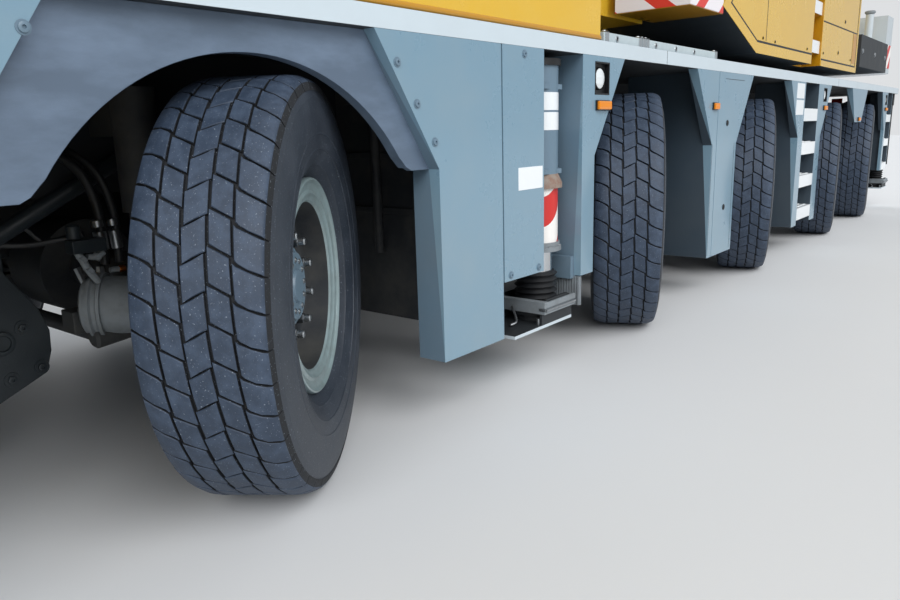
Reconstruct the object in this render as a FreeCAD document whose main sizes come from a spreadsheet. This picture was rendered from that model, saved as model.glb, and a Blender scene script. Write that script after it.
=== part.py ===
"""All-terrain mobile crane on five steered axles, as a parametric assembly.

Units are millimetres. +X is forward, +Y is the vehicle's left and +Z is up.
The origin is on the ground under the middle of the vehicle.
Places along the vehicle are often given as a distance behind the first axle.
"""
import FreeCAD, Part
import math
import os
from types import SimpleNamespace

import Sketcher

doc = FreeCAD.newDocument("MobileCrane")

# Driving dimensions: name, value, what it is
DIMENSIONS = (
    ("front_reach", 3300, "first axle to the foremost point, the boom head"),
    ("rear_overhang", 1560, "fifth axle to the rearmost point, the frame's end"),
    ("body_width", 2750, "over the side panels"),
    ("axle_gap_front", 2620, "first axle to the second"),
    ("axle_gap_second", 2180, "second axle to the third"),
    ("axle_gap_third", 2360, "third axle to the fourth"),
    ("axle_gap_rear", 1780, "fourth axle to the fifth"),
    ("tyre_radius", 675, "ground to the wheel's centre"),
    ("tyre_width", 384, "over the sidewalls"),
    ("tread_width", 344, "over the shoulders"),
    ("shoulder_drop", 20, "how far the shoulders fall from the crown"),
    ("rim_radius", 355, "outside of the rim's flange"),
    ("rim_width", 292, "over the rim's two flanges"),
    ("rim_seat_radius", 318, "bead seat of the rim"),
    ("rim_flange", 18, "thickness of the rim's flange"),
    ("rim_mouth_radius", 336, "opening of the rim's flange"),
    ("rim_bore_radius", 292, "inside of the rim's barrel"),
    ("disc_offset", 20, "outer face of the wheel's disc from its middle plane"),
    ("disc_thickness", 24, "plate of the wheel's disc"),
    ("kingpin_offset", 250, "kingpin to the tyre's middle plane"),
    ("tyre_inset", 190, "side panel's face to the tyre's middle plane"),
    ("kingpin_radius", 40, "kingpin pin"),
    ("spindle_radius", 75, "hub spindle"),
    ("hub_radius", 140, "wheel hub"),
    ("running_gap", 0.3, "radial clearance of a pin in its bore"),
    ("clear_gap", 6, "clearance between pieces that move"),
    ("deck_bottom", 1495, "underside of the deck and top of the side panels"),
    ("deck_top", 1568, "top of the deck and of its edge strip"),
    ("panel_skin", 35, "thickness of a side panel"),
    ("knee_height", 1030, "where the wheel arches turn upright"),
    ("arch_run", 305, "how far an arch leans in above its knee"),
    ("frame_half_width", 420, "half of the frame's width"),
    ("frame_bottom", 980, "underside of the frame's box"),
    ("slew_place", 6400, "first axle to the slewing centre"),
    ("upper_floor", 1655, "underside of the superstructure"),
    ("boom_pivot_place", 9000, "first axle to the boom's foot pin"),
    ("boom_pivot_height", 3000, "ground to the boom's foot pin"),
    ("boom_width", 720, "base section across"),
    ("boom_height", 800, "base section's height"),
    ("boom_wall", 14, "plate of the boom's sections"),
    ("boom_step", 28, "each section inside the one before, per side"),
    ("steer_one", 36, "first axle's steering at rest, degrees"),
    ("steer_two", 27, "second axle's steering at rest, degrees"),
    ("steer_three", 19, "third axle's steering at rest, degrees"),
    ("steer_four", 13, "fourth axle's steering at rest, degrees"),
    ("steer_five", 10, "fifth axle's steering at rest, degrees"),
)


class Size:
    """A value from the sheet, or one worked out from it, with its formula."""

    def __init__(self, value, formula):
        self.value = value
        self.formula = formula

    def _join(self, other, sign, result):
        return Size(result, "(%s %s %s)" % (self.formula, sign, formula_of(other)))

    def __add__(self, other):
        return self._join(other, "+", self.value + value_of(other))

    def __sub__(self, other):
        return self._join(other, "-", self.value - value_of(other))

    def __mul__(self, other):
        return self._join(other, "*", self.value * value_of(other))

    def __truediv__(self, other):
        return self._join(other, "/", self.value / value_of(other))

    def __radd__(self, other):
        return self + other

    def __rmul__(self, other):
        return self * other

    def __rsub__(self, other):
        return Size(other - self.value, "(%s - %s)" % (formula_of(other), self.formula))

    def __neg__(self):
        return Size(-self.value, "(0 - %s)" % self.formula)


def value_of(size):
    """The number that a size or a plain number stands for."""
    return size.value if isinstance(size, Size) else float(size)


def formula_of(size):
    """The formula that a size or a plain number is bound with."""
    return size.formula if isinstance(size, Size) else "%.6g" % size


def make_sheet():
    """Fill the spreadsheet and return its sizes by name."""
    sheet = doc.addObject("Spreadsheet::Sheet", "Sizes")
    sizes = {}
    for row, (name, value, meaning) in enumerate(DIMENSIONS, start=1):
        sheet.set("A%d" % row, name)
        sheet.set("B%d" % row, str(value))
        sheet.set("C%d" % row, meaning)
        sheet.setAlias("B%d" % row, name)
        sizes[name] = Size(float(value), "Sizes." + name)
    doc.recompute()
    return SimpleNamespace(**sizes)


d = make_sheet()
nodes = {}

# Places of the axles and of the rear end, behind the first axle
AXLES = [0 * d.axle_gap_front]
for gap in (d.axle_gap_front, d.axle_gap_second, d.axle_gap_third, d.axle_gap_rear):
    AXLES.append(AXLES[-1] + gap)
REAR_REACH = AXLES[-1] + d.rear_overhang


def behind(distance):
    """X of a place that many millimetres behind the first axle."""
    return (REAR_REACH - d.front_reach) / 2 - distance


def bind(thing, prop, size):
    """Tie a property to the sheet, or to a plain number."""
    thing.setExpression(prop, formula_of(size))


def place(thing, x=0, y=0, z=0):
    """Tie the position of a piece."""
    for axis, size in zip("xyz", (x, y, z)):
        bind(thing, "Placement.Base." + axis, size)
    return thing


def turn(thing, axis, angle):
    """Turn a piece about a fixed axis by a tied angle in degrees."""
    thing.Placement.Rotation = FreeCAD.Rotation(axis, value_of(angle) or 0.001)
    bind(thing, "Placement.Rotation.Angle", angle)
    return thing


X_AXIS = FreeCAD.Vector(1, 0, 0)
Y_AXIS = FreeCAD.Vector(0, 1, 0)
Z_AXIS = FreeCAD.Vector(0, 0, 1)


def box(low, high):
    """Block between two corners, each given as (x, y, z)."""
    block = doc.addObject("Part::Box", "Block")
    for prop, near, far in zip(("Length", "Width", "Height"), low, high):
        bind(block, prop, far - near)
    return place(block, *low)


def rod(start, length, radius, axis="z"):
    """Round bar that starts at a point and runs along X, Y or Z."""
    bar = doc.addObject("Part::Cylinder", "Bar")
    bind(bar, "Radius", radius)
    bind(bar, "Height", length)
    turns = {"x": FreeCAD.Rotation(Y_AXIS, 90), "y": FreeCAD.Rotation(X_AXIS, -90)}
    if axis in turns:
        bar.Placement.Rotation = turns[axis]
    return place(bar, *start)


def cone(start, length, radius_start, radius_end, axis="z"):
    """Tapered round bar that starts at a point and runs along X, Y or Z."""
    bar = doc.addObject("Part::Cone", "Taper")
    bind(bar, "Radius1", radius_start)
    bind(bar, "Radius2", radius_end)
    bind(bar, "Height", length)
    turns = {"x": FreeCAD.Rotation(Y_AXIS, 90), "y": FreeCAD.Rotation(X_AXIS, -90)}
    if axis in turns:
        bar.Placement.Rotation = turns[axis]
    return place(bar, *start)


# Sketch planes: role of the body's origin plane, and the sign of its normal
PLANES = {"plan": ("XY_Plane", 1), "side": ("XZ_Plane", -1), "front": ("YZ_Plane", 1)}


def prism(plane, outlines, start, end):
    """Body padded from closed outlines.

    plane is plan (x, y outline, padded along Z), side (x, z outline, along Y)
    or front (y, z outline, along X). An outline after the first is a hole.
    """
    role, sign = PLANES[plane]
    body = doc.addObject("PartDesign::Body", "Body")
    sketch = body.newObject("Sketcher::SketchObject", "Outline")
    origin = [f for f in body.Origin.OriginFeatures if f.Role == role][0]
    sketch.AttachmentSupport = [(origin, "")]
    sketch.MapMode = "FlatFace"
    bind(sketch, "AttachmentOffset.Base.z", start if sign > 0 else -end)
    for outline in outlines:
        draw(sketch, outline)
    pad = body.newObject("PartDesign::Pad", "Pad")
    pad.Profile = sketch
    bind(pad, "Length", end - start)
    return body


def draw(sketch, outline):
    """Closed outline of straight lines with every corner tied to the sheet."""
    first = sketch.GeometryCount
    count = len(outline)
    spots = [FreeCAD.Vector(value_of(a), value_of(b), 0) for a, b in outline]
    lines = [Part.LineSegment(spots[i], spots[(i + 1) % count]) for i in range(count)]
    sketch.addGeometry(lines, False)
    for i in range(count):
        here = first + i
        sketch.addConstraint(Sketcher.Constraint("Coincident", here, 2, first + (i + 1) % count, 1))
        for kind, size in zip(("DistanceX", "DistanceY"), outline[i]):
            rule = Sketcher.Constraint(kind, -1, 1, here, 1, value_of(size))
            number = sketch.addConstraint(rule)
            sketch.setExpression("Constraints[%d]" % number, formula_of(size))


# Axes of a turned body: its sketch plane, and the sketch's axis
LATHES = {"y": ("YZ_Plane", "H_Axis"), "z": ("YZ_Plane", "V_Axis")}


def turned(outline, axis="y"):
    """Body of revolution through the origin.

    The outline is (y, radius) for a body about Y, and (radius, z) for one about Z.
    """
    role, line = LATHES[axis]
    body = doc.addObject("PartDesign::Body", "Body")
    sketch = body.newObject("Sketcher::SketchObject", "Section")
    origin = [f for f in body.Origin.OriginFeatures if f.Role == role][0]
    sketch.AttachmentSupport = [(origin, "")]
    sketch.MapMode = "FlatFace"
    draw(sketch, outline)
    lathe = body.newObject("PartDesign::Revolution", "Turned")
    lathe.Profile = sketch
    lathe.ReferenceAxis = (sketch, [line])
    lathe.Angle = 360
    return body


def common(base, tool):
    """What two pieces share."""
    shared = doc.addObject("Part::Common", "Shared")
    shared.Base = base
    shared.Tool = tool
    return shared


def fuse(pieces):
    """One solid of pieces that meet."""
    joined = doc.addObject("Part::MultiFuse", "Joined")
    joined.Shapes = pieces
    joined.Refine = True
    return joined


def cut(base, tools):
    """A piece with other pieces taken out of it."""
    left = doc.addObject("Part::Cut", "Left")
    left.Base = base
    left.Tool = tools[0] if len(tools) == 1 else fuse(tools)
    left.Refine = True
    return left


def group(pieces):
    """Pieces of one node that stand apart."""
    together = doc.addObject("Part::Compound", "Together")
    together.Links = pieces
    return together


def mirror(piece):
    """The same piece on the vehicle's other side."""
    other = doc.addObject("Part::Mirroring", "Mirrored")
    other.Source = piece
    other.Base = (0, 0, 0)
    other.Normal = (0, 1, 0)
    return other


def both(piece):
    """A piece and its mirror image."""
    return [piece, mirror(piece)]


def node(name, piece):
    """Name a finished sub-part."""
    piece.Label = name
    nodes[name] = piece
    return piece


HALF = d.body_width / 2
STEER = (d.steer_one, d.steer_two, d.steer_three, d.steer_four, d.steer_five)
KINGPIN_Y = HALF - d.tyre_inset - d.kingpin_offset
WHEEL_SIDES = 28
# Suspension cylinder's middle from the frame's side
STRUT_REACH = 215


def mirrored_outline(half):
    """Closed (y, radius) outline of the corners at +y and their mirror image."""
    return [(-y, r) for y, r in half] + [(y, r) for y, r in reversed(half)]


def ring_of_wedges(outline, sides=WHEEL_SIDES):
    """Ring with flat sides: one wedge of the (y, radius) outline, repeated round Y."""
    reach = d.tyre_radius * 1.1
    half_base = reach * math.tan(math.pi / sides)
    slab = prism("front", [outline], -half_base - 1, half_base + 1)
    limit = prism("side", [[(0, 0), (half_base, reach), (-half_base, reach)]], -d.tyre_width, d.tyre_width)
    wedge = common(slab, limit)
    copies = []
    for number in range(sides):
        copy = group([wedge])
        copy.Placement.Rotation = FreeCAD.Rotation(Y_AXIS, 360 * number / sides)
        copies.append(copy)
    return fuse(copies)


def tyre_form():
    """Left tyre about its own axis: crown, shoulders, bulged walls and beads."""
    crown = d.tread_width / 2 - 34
    bead = d.rim_width / 2 - d.rim_flange - 6 - d.running_gap
    return ring_of_wedges(mirrored_outline((
        (bead, d.rim_seat_radius + d.running_gap),
        (bead, d.rim_radius + 2),
        (d.tyre_width / 2, d.tyre_radius - 155),
        (d.tread_width / 2, d.tyre_radius - d.shoulder_drop),
        (crown, d.tyre_radius),
    )))


def rim_form():
    """Left rim about its own axis: barrel with two flanges, dished disc and planetary hub."""
    lip = d.rim_width / 2
    root = lip - d.rim_flange
    heel = root - 6
    disc_back = d.disc_offset - d.disc_thickness
    hub_back = disc_back - 70
    hub_face = d.disc_offset + 60
    socket = d.spindle_radius + d.running_gap
    back_half = [
        (hub_back, socket), (hub_back, d.hub_radius), (disc_back, d.hub_radius),
        (disc_back, d.rim_bore_radius), (-root, d.rim_bore_radius + 6),
        (-lip, d.rim_mouth_radius), (-lip, d.rim_radius), (-root, d.rim_radius), (-heel, d.rim_seat_radius)]
    front_half = [
        (heel, d.rim_seat_radius), (root, d.rim_radius), (lip, d.rim_radius), (lip, d.rim_mouth_radius),
        (root - 6, d.rim_bore_radius + 2), (d.disc_offset + 12, d.rim_bore_radius - 4),
        (d.disc_offset, d.rim_bore_radius - 26), (d.disc_offset, d.hub_radius + 74),
        (d.disc_offset + 10, d.hub_radius + 60), (d.disc_offset + 10, d.hub_radius),
        (hub_face - 20, d.hub_radius - 4), (hub_face - 14, d.hub_radius - 24),
        (hub_face, d.hub_radius - 30),
        (hub_face, 0), (d.disc_offset, 0), (d.disc_offset, socket)]
    return turned(back_half + front_half)


def knuckle_form():
    """Left knuckle about its kingpin: pin, two ears, hub carrier, spindle and brake."""
    height = d.tyre_radius
    ear_gap = 95 + d.clear_gap
    ear = 34
    pin = rod((0, 0, height - ear_gap - ear), 2 * (ear_gap + ear), d.kingpin_radius)
    ears = [
        box((-75, -70, height + ear_gap), (75, 120, height + ear_gap + ear)),
        box((-75, -70, height - ear_gap - ear), (75, 120, height - ear_gap)),
    ]
    web = box((-95, 84, height - ear_gap - ear), (95, 122, height + ear_gap + ear))
    hub_face = d.kingpin_offset + d.disc_offset - d.disc_thickness - 70 - d.clear_gap
    brake = rod((0, 122, height), hub_face - 122, 205, "y")
    spindle_end = d.kingpin_offset + d.disc_offset - d.running_gap
    spindle = rod((0, 122, height), spindle_end - 122, d.spindle_radius, "y")
    return fuse([pin, web, brake, spindle] + ears)


def steered(name, form, axle, side, lift=0):
    """Copy of a left or right form at its kingpin, turned to the steering at rest."""
    piece = doc.addObject("Part::Compound", "Placed")
    piece.Links = [form]
    turn(piece, Z_AXIS, STEER[axle])
    place(piece, behind(AXLES[axle]), KINGPIN_Y if side == "left" else -KINGPIN_Y, lift)
    return node("%s_%d_%s" % (name, axle + 1, side), piece)


def make_wheels():
    """Ten knuckles, rims and tyres."""
    tyre = tyre_form()
    rim = rim_form()
    for wheel_part in (tyre, rim):
        place(wheel_part, 0, d.kingpin_offset, 0)
    forms = {"knuckle": (knuckle_form(), 0), "rim": (rim, d.tyre_radius), "tyre": (tyre, d.tyre_radius)}
    for name, (form, lift) in forms.items():
        sided = {"left": form, "right": mirror(form)}
        for axle in range(len(AXLES)):
            for side, shape in sided.items():
                steered(name, shape, axle, side, lift)


def make_axles():
    """Five axle beams with differentials, kingpin bosses and suspension cylinders."""
    pieces = []
    for axle in AXLES:
        x = behind(axle)
        z = d.tyre_radius
        boss = cut(
            rod((x, KINGPIN_Y, z - 95), 190, 66),
            [rod((x, KINGPIN_Y, z - 96), 192, d.kingpin_radius + d.running_gap)])
        tube = rod((x, 50 - KINGPIN_Y, z), 2 * (KINGPIN_Y - 50), 82, "y")
        strut_y = d.frame_half_width + STRUT_REACH
        strut = rod((x, strut_y, z + 60), d.frame_bottom - z + 120 - 60, 55)
        sleeve = rod((x, strut_y, d.frame_bottom - 60), 420, 75)
        arm = box((x - 60, d.frame_half_width, d.frame_bottom + 200),
                  (x + 60, strut_y + 20, d.frame_bottom + 360))
        housing = rod((x, -150, z), 300, 190, "y")
        nose = cone((x - 330, 0, z), 330, 70, 150, "x")
        beam = [tube, housing, nose]
        for piece in (boss, strut, sleeve, arm):
            beam += both(piece)
        pieces.append(fuse(beam))
    node("axles", group(pieces))


def make_frame():
    """Box frame with its walls, and the two outrigger boxes across it."""
    front = behind(CAB_REAR)
    rear = behind(REAR_REACH - 60)
    half = d.frame_half_width
    top = d.deck_bottom
    low = d.frame_bottom
    outline = [(-half, low), (half, low), (half, top), (-half, top)]
    wall = 40
    hollow = [(-half + wall, low + wall), (half - wall, low + wall),
              (half - wall, top - wall), (-half + wall, top - wall)]
    spine = prism("front", [outline, hollow], rear, front)
    pieces = [spine]
    tools = []
    for start, ahead, after in OUTRIGGERS:
        shell, slots = outrigger_box(start)
        pieces.append(shell)
        tools += slots
    node("carrier_frame", cut(fuse(pieces), tools))


# Outriggers: place of the cross box's front wall, and the pad's reach ahead of its jack and behind it
OUTRIGGERS = ((1150, 374, 121), (AXLES[4] + 820, 200, 200))
BEAM_LONG = 280
BEAM_TALL = 400
BEAM_LOW = 960
BEAM_WALL = 14
CELL_GAP = 8
CELL_LOW = BEAM_LOW - 0.3
BOX_WALL = 18
CELL_LONG = BEAM_LONG + 2 * CELL_GAP
CELL_TALL = BEAM_TALL + 2 * CELL_GAP
BOX_END = HALF - 375
JACK_TUBE = 105
JACK_RADIUS = 80
JACK_LOW = 600
JACK_TOP = 1470
FOOT_RADIUS = 130
PAD_LOW = 255
PAD_TOP = 270
FOOT_LOW = 300
BOOT_FOLDS = 5
BOOT_RISE = 28
BOOT_ROOT = 88
BOOT_RADIUS = 104
JACK_INSET = 150


def cell_start(start, cell):
    """Distance behind the first axle to the front of one of a box's two cells."""
    return start + BOX_WALL + cell * (CELL_LONG + BOX_WALL)


def outrigger_box(start):
    """Cross box with two cells, the front one for the right beam."""
    long = 3 * BOX_WALL + 2 * CELL_LONG
    low = CELL_LOW
    shell = box((behind(start + long), -BOX_END, low - BOX_WALL),
                (behind(start), BOX_END, low + CELL_TALL + BOX_WALL))
    slots = []
    for cell in (0, 1):
        place_s = cell_start(start, cell)
        slots.append(box((behind(place_s + CELL_LONG), -BOX_END - 1, low),
                         (behind(place_s), BOX_END + 1, low + CELL_TALL)))
    return shell, slots


def jack_tube():
    """Jack tube about its own axis: closed top, collar with its cone at half height, stepped foot."""
    bore = JACK_RADIUS + d.running_gap
    collar = BEAM_LOW - 65
    return turned([
        (bore, JACK_LOW), (JACK_TUBE + 17, JACK_LOW), (JACK_TUBE + 17, JACK_LOW + 22),
        (JACK_TUBE + 9, JACK_LOW + 22), (JACK_TUBE + 9, JACK_LOW + 42), (JACK_TUBE, JACK_LOW + 42),
        (JACK_TUBE, collar), (JACK_TUBE + 20, collar), (JACK_TUBE + 20, collar + 23), (JACK_TUBE, BEAM_LOW),
        (JACK_TUBE, JACK_TOP - 30), (JACK_TUBE + 12, JACK_TOP - 30), (JACK_TUBE + 12, JACK_TOP),
        (0, JACK_TOP), (0, JACK_TOP - 50), (bore, JACK_TOP - 50)], "z")


def jack_piston():
    """Jack piston about its own axis, with its folded rubber boot and its foot."""
    outline = [(0, FOOT_LOW), (FOOT_RADIUS, FOOT_LOW), (FOOT_RADIUS, FOOT_LOW + 32),
               (FOOT_RADIUS - 20, FOOT_LOW + 50)]
    boot = FOOT_LOW + 62
    for fold in range(BOOT_FOLDS):
        outline.append((BOOT_ROOT, boot + BOOT_RISE * fold))
        outline.append((BOOT_RADIUS, boot + BOOT_RISE * (fold + 0.5)))
    outline += [(BOOT_ROOT, boot + BOOT_RISE * BOOT_FOLDS), (JACK_RADIUS, boot + BOOT_RISE * BOOT_FOLDS),
                (JACK_RADIUS, JACK_TOP - 90), (0, JACK_TOP - 90)]
    return turned(outline, "z")


def jack_pad(x, jack_y, ahead, after):
    """Pad plate under a jack's foot, with the frame of two rounded plates that holds it."""
    plate = box((x - after, jack_y - 280, PAD_LOW), (x + ahead, jack_y + FOOT_RADIUS, PAD_TOP))
    boss = rod((x, jack_y, PAD_TOP - 1), FOOT_LOW - PAD_TOP + 2, FOOT_RADIUS - 25)
    outline = [(x - 120, PAD_TOP - 1), (x + 150, PAD_TOP - 1), (x + 150, 345), (x + 138, 372),
               (x + 110, 388), (x - 80, 388), (x - 108, 372), (x - 120, 345)]
    sheet = 12
    starts = (-FOOT_RADIUS, FOOT_RADIUS - sheet)
    cheeks = [prism("side", [outline], jack_y + start, jack_y + start + sheet) for start in starts]
    return [plate, boss] + cheeks


def make_outriggers():
    """Four beams with jack tubes at their ends, and four jack pistons with pads."""
    for end, (start, ahead, after) in zip(("front", "rear"), OUTRIGGERS):
        for cell, side in ((1, "left"), (0, "right")):
            s = cell_start(start, cell) + CELL_GAP
            x_low = behind(s + BEAM_LONG)
            x_high = behind(s)
            x = behind(s + BEAM_LONG / 2)
            jack_y = HALF - JACK_INSET
            beam = cut(
                box((x_low, -BOX_END + 80, BEAM_LOW), (x_high, jack_y, BEAM_LOW + BEAM_TALL)),
                [box((x_low + BEAM_WALL, -BOX_END + 79, BEAM_LOW + BEAM_WALL),
                     (x_high - BEAM_WALL, jack_y - 200, BEAM_LOW + BEAM_TALL - BEAM_WALL))])
            head = [(x_low, jack_y - 1), (x_high, jack_y - 1), (x_high, jack_y + 40),
                    (x_high - 70, jack_y + 100), (x_low + 70, jack_y + 100), (x_low, jack_y + 40)]
            plates = [prism("plan", [head], z, z + 22) for z in (BEAM_LOW, BEAM_LOW + BEAM_TALL - 22)]
            tube = place(jack_tube(), x, jack_y, 0)
            bore = rod((x, jack_y, JACK_LOW - 1), JACK_TOP - 50 - JACK_LOW + 1, JACK_RADIUS + d.running_gap)
            holder = cut(fuse([beam, tube] + plates), [bore])
            piston = fuse([place(jack_piston(), x, jack_y, 0)] + jack_pad(x, jack_y, ahead, after))
            if side == "right":
                holder = mirror(holder)
                piston = mirror(piston)
            node("outrigger_beam_%s_%s" % (end, side), holder)
            node("outrigger_jack_%s_%s" % (end, side), piston)


# Ladder lengths lying on the deck: front and rear end behind the first axle
LADDERS = ((2080, 2520), (2550, 3650))
LADDER_INSETS = (40, 330)
LADDER_RAIL = 30
RUNG_PITCH = 280
# Steps: front and rear edge, side, lowest tread's underside, rise, tread's height
STEPS = (
    (AXLES[2] + 940, AXLES[2] + 1400, 1, 294, 291, 105),
    (AXLES[2] + 940, AXLES[2] + 1400, -1, 294, 291, 105),
    (AXLES[4] + 820, AXLES[4] + 1130, 1, 520, 305, 90),
    (AXLES[4] + 1170, AXLES[4] + 1460, -1, 520, 305, 90),
)
STEP_DEPTH = 200


def sided(start, end, side, inboard, outboard, low, high):
    """Block between two places, given by how far inboard of the side's face its two faces lie."""
    if side > 0:
        return box((behind(end), HALF - inboard, low), (behind(start), HALF - outboard, high))
    return box((behind(end), outboard - HALF, low), (behind(start), inboard - HALF, high))


def tread(start, end, side, low, tall):
    """Step of bent sheet: a tall front lip with a flat top behind it."""
    lip = sided(start, end, side, 22, 0, low, low + tall)
    top = sided(start, end, side, STEP_DEPTH, 21, low + tall - 22, low + tall)
    return fuse([lip, top])


def make_deck():
    """Deck plate with its edge strips, the ladder lying along its left side, and the steps up to it."""
    pieces = [box((behind(REAR_REACH), -HALF, d.deck_bottom), (behind(-950), HALF, d.deck_top))]
    for start, end in LADDERS:
        for inset in LADDER_INSETS:
            pieces.append(sided(start, end, 1, inset + LADDER_RAIL, inset, d.deck_top, d.deck_top + 50))
        for number in range(int((end - start) // RUNG_PITCH)):
            x = behind(start + RUNG_PITCH * (number + 0.5))
            length = LADDER_INSETS[1] - LADDER_INSETS[0]
            pieces.append(rod((x, HALF - LADDER_INSETS[1] - 1, d.deck_top + 26), length, 15, "y"))
    treads = []
    for start, end, side, lowest, rise, tall in STEPS:
        count = int((value_of(d.deck_bottom) - lowest) // rise)
        treads += [tread(start, end, side, lowest + rise * number, tall) for number in range(count)]
    node("deck", group([fuse(pieces)] + treads))


# Side panels: axle ahead, gap behind it, axle behind, gap ahead of it, front leans, rear leans,
# bottom height, depth of the block inboard of the bottom, depth of the folded edges
PANELS = (
    (0, -930, 0, 560, False, True, 620, 0, 50),
    (0, 440, 0, -1145, True, False, 290, 130, 50),
    (1, -816, 1, 388, False, True, 455, 0, 60),
    (1, 599, 2, 503, True, True, 283, 600, 60),
    (2, 485, 3, 481, True, True, 250, 380, 60),
    (3, 464, 4, 512, True, True, 1143, 0, 60),
    (4, 430, 4, -820, True, False, 520, 0, 60),
)
FOLD_SHEET = 16
# Lamp pockets: panel number, front and rear edge behind the first axle, bottom and top
POCKETS = (
    (2, AXLES[1] - 700, AXLES[1] - 552, 1317, 1470),
    (4, AXLES[2] + 1590, AXLES[2] + 1712, 1340, 1466),
    (6, AXLES[4] + 660, AXLES[4] + 775, 1340, 1466),
)
POCKET_DEPTH = 24
LOCKER_SEAM = AXLES[1] + 985
# Wall that closes the second pillar towards the front jack, and the block at its foot
PILLAR_WALL = (AXLES[1] - 816, AXLES[1] - 795, 220)
PILLAR_BLOCK = (AXLES[1] - 845, AXLES[1] - 795, 255, 440, 550)
# Underside of the plate that covers an outrigger box's other cell
COVER_LOW = 535


def panel(number):
    """Side panel between two wheel arches, with its folded edges and a locker behind its lower half."""
    ahead, gap_front, after, gap_rear, lean_front, lean_rear, bottom, depth, fold = PANELS[number]
    top_front = AXLES[ahead] + gap_front
    top_rear = AXLES[after] - gap_rear
    knee = max(bottom, value_of(d.knee_height))
    share = (value_of(d.deck_bottom) - knee) / value_of(d.deck_bottom - d.knee_height)
    knee_height = d.knee_height if knee > bottom else bottom
    low_front = top_front + d.arch_run * share if lean_front else top_front
    low_rear = top_rear - d.arch_run * share if lean_rear else top_rear
    outline = [(behind(top_front), d.deck_bottom)]
    if lean_front and bottom < knee:
        outline.append((behind(low_front), knee_height))
    outline += [(behind(low_front), bottom), (behind(low_rear), bottom)]
    if lean_rear and bottom < knee:
        outline.append((behind(low_rear), knee_height))
    outline.append((behind(top_rear), d.deck_bottom))
    inner = HALF - d.panel_skin
    pieces = [prism("side", [outline], inner, HALF)]
    edges = ((lean_front, top_front, low_front, FOLD_SHEET), (lean_rear, top_rear, low_rear, -FOLD_SHEET))
    for leans, top, low, sheet in edges:
        if leans:
            edge = [(behind(top), d.deck_bottom), (behind(low), knee_height),
                    (behind(low + sheet), knee_height), (behind(top + sheet), d.deck_bottom)]
            pieces.append(prism("side", [edge], HALF - fold, inner + 1))
    if depth:
        pieces.append(box((behind(low_rear), HALF - depth, bottom),
                          (behind(low_front), inner + 1, d.deck_bottom)))
    return fuse(pieces)


def make_panels():
    """Side panels of both sides, with lamp pockets, step recesses and the covers of the outrigger boxes."""
    forms = [panel(number) for number in range(len(PANELS))]
    wall_start, wall_end, wall_depth = PILLAR_WALL
    block_start, block_end, block_depth, block_low, block_high = PILLAR_BLOCK
    forms[2] = fuse([
        forms[2],
        sided(wall_start, wall_end, 1, wall_depth, d.panel_skin - 1, block_low, d.deck_bottom),
        sided(block_start, block_end, 1, block_depth, d.panel_skin + 5, block_low, block_high)])
    forms[3] = cut(forms[3], [sided(LOCKER_SEAM - 4, LOCKER_SEAM + 4, 1, 8, -1, 282, d.deck_bottom + 1)])
    recess_start, recess_end = STEPS[0][:2]
    forms[4] = cut(forms[4], [sided(recess_start, recess_end, 1, STEP_DEPTH, -1, 249, d.deck_bottom + 1)])
    for number, start, end, low, high in POCKETS:
        forms[number] = cut(forms[number], [sided(start, end, 1, POCKET_DEPTH, -1, low, high)])
    pieces = []
    for form in forms[:-1]:
        pieces += both(form)
    cheek = 15
    for start, end, side, lowest, rise, tall in STEPS[2:]:
        skin = d.panel_skin - 1 if side > 0 else 0
        near = sided(start - cheek, start, side, STEP_DEPTH, skin, lowest, d.deck_bottom)
        pieces.append(fuse([forms[-1], near]) if side > 0 else near)
        pieces.append(sided(end, end + cheek, side, STEP_DEPTH, 0, lowest, d.deck_bottom))
    pieces.append(mirror(forms[-1]))
    second_cell = BOX_WALL + CELL_LONG + BOX_WALL
    for side, offset in ((1, 0), (-1, second_cell)):
        start = OUTRIGGERS[0][0] + offset
        pieces.append(sided(start + 4, start + CELL_LONG + BOX_WALL, side, d.panel_skin, 0,
                            COVER_LOW, d.deck_bottom))
    node("side_panels", group(pieces))


FENDER_INSET = 50
ARCH_RADIUS = 720
ARCH_MIDDLE = -10
# Foot of the front arch: distance from its middle, height over its underside
ARCH_FOOT = ((658, 0), (631, 14), (606, 40), (575, 70))


def make_fenders():
    """Front arches of moulded rubber: a plate cut round the wheel, with a lip turned in along the cut."""
    face = HALF - FENDER_INSET
    foot = [(behind(ARCH_MIDDLE - run), d.knee_height + rise) for run, rise in ARCH_FOOT]
    foot += [(behind(ARCH_MIDDLE + run), d.knee_height + rise) for run, rise in reversed(ARCH_FOOT)]
    locker_edge = PANELS[1][1] + d.arch_run
    outline = [(behind(-860), d.deck_bottom), (behind(-860), d.knee_height)] + foot + [
        (behind(locker_edge), d.knee_height), (behind(locker_edge), d.knee_height + 60),
        (behind(470), d.deck_bottom)]
    plate = prism("side", [outline], face - 25, face)
    inner = prism("side", [outline], face - 45, face - 25)
    middle = behind(ARCH_MIDDLE)
    lip = common(inner, rod((middle, face - 45, d.tyre_radius), 20, ARCH_RADIUS + 16, "y"))
    arch = rod((middle, face - 50, d.tyre_radius), 60, ARCH_RADIUS, "y")
    node("fenders", group(both(cut(fuse([plate, lip]), [arch]))))


COVER_FRONT = -900
COVER_REAR = 2003
COVER_LIP = 14
COVER_WALL = 30
# Room between the engine cover's roof and the boom's foot pin
COVER_DROP = 532
# Louvres of a side: first place, pitch, slots, width, and their ends' depths under the roof
LOUVRES = (-300, 150, 9, 60, 508, 238)


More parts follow.
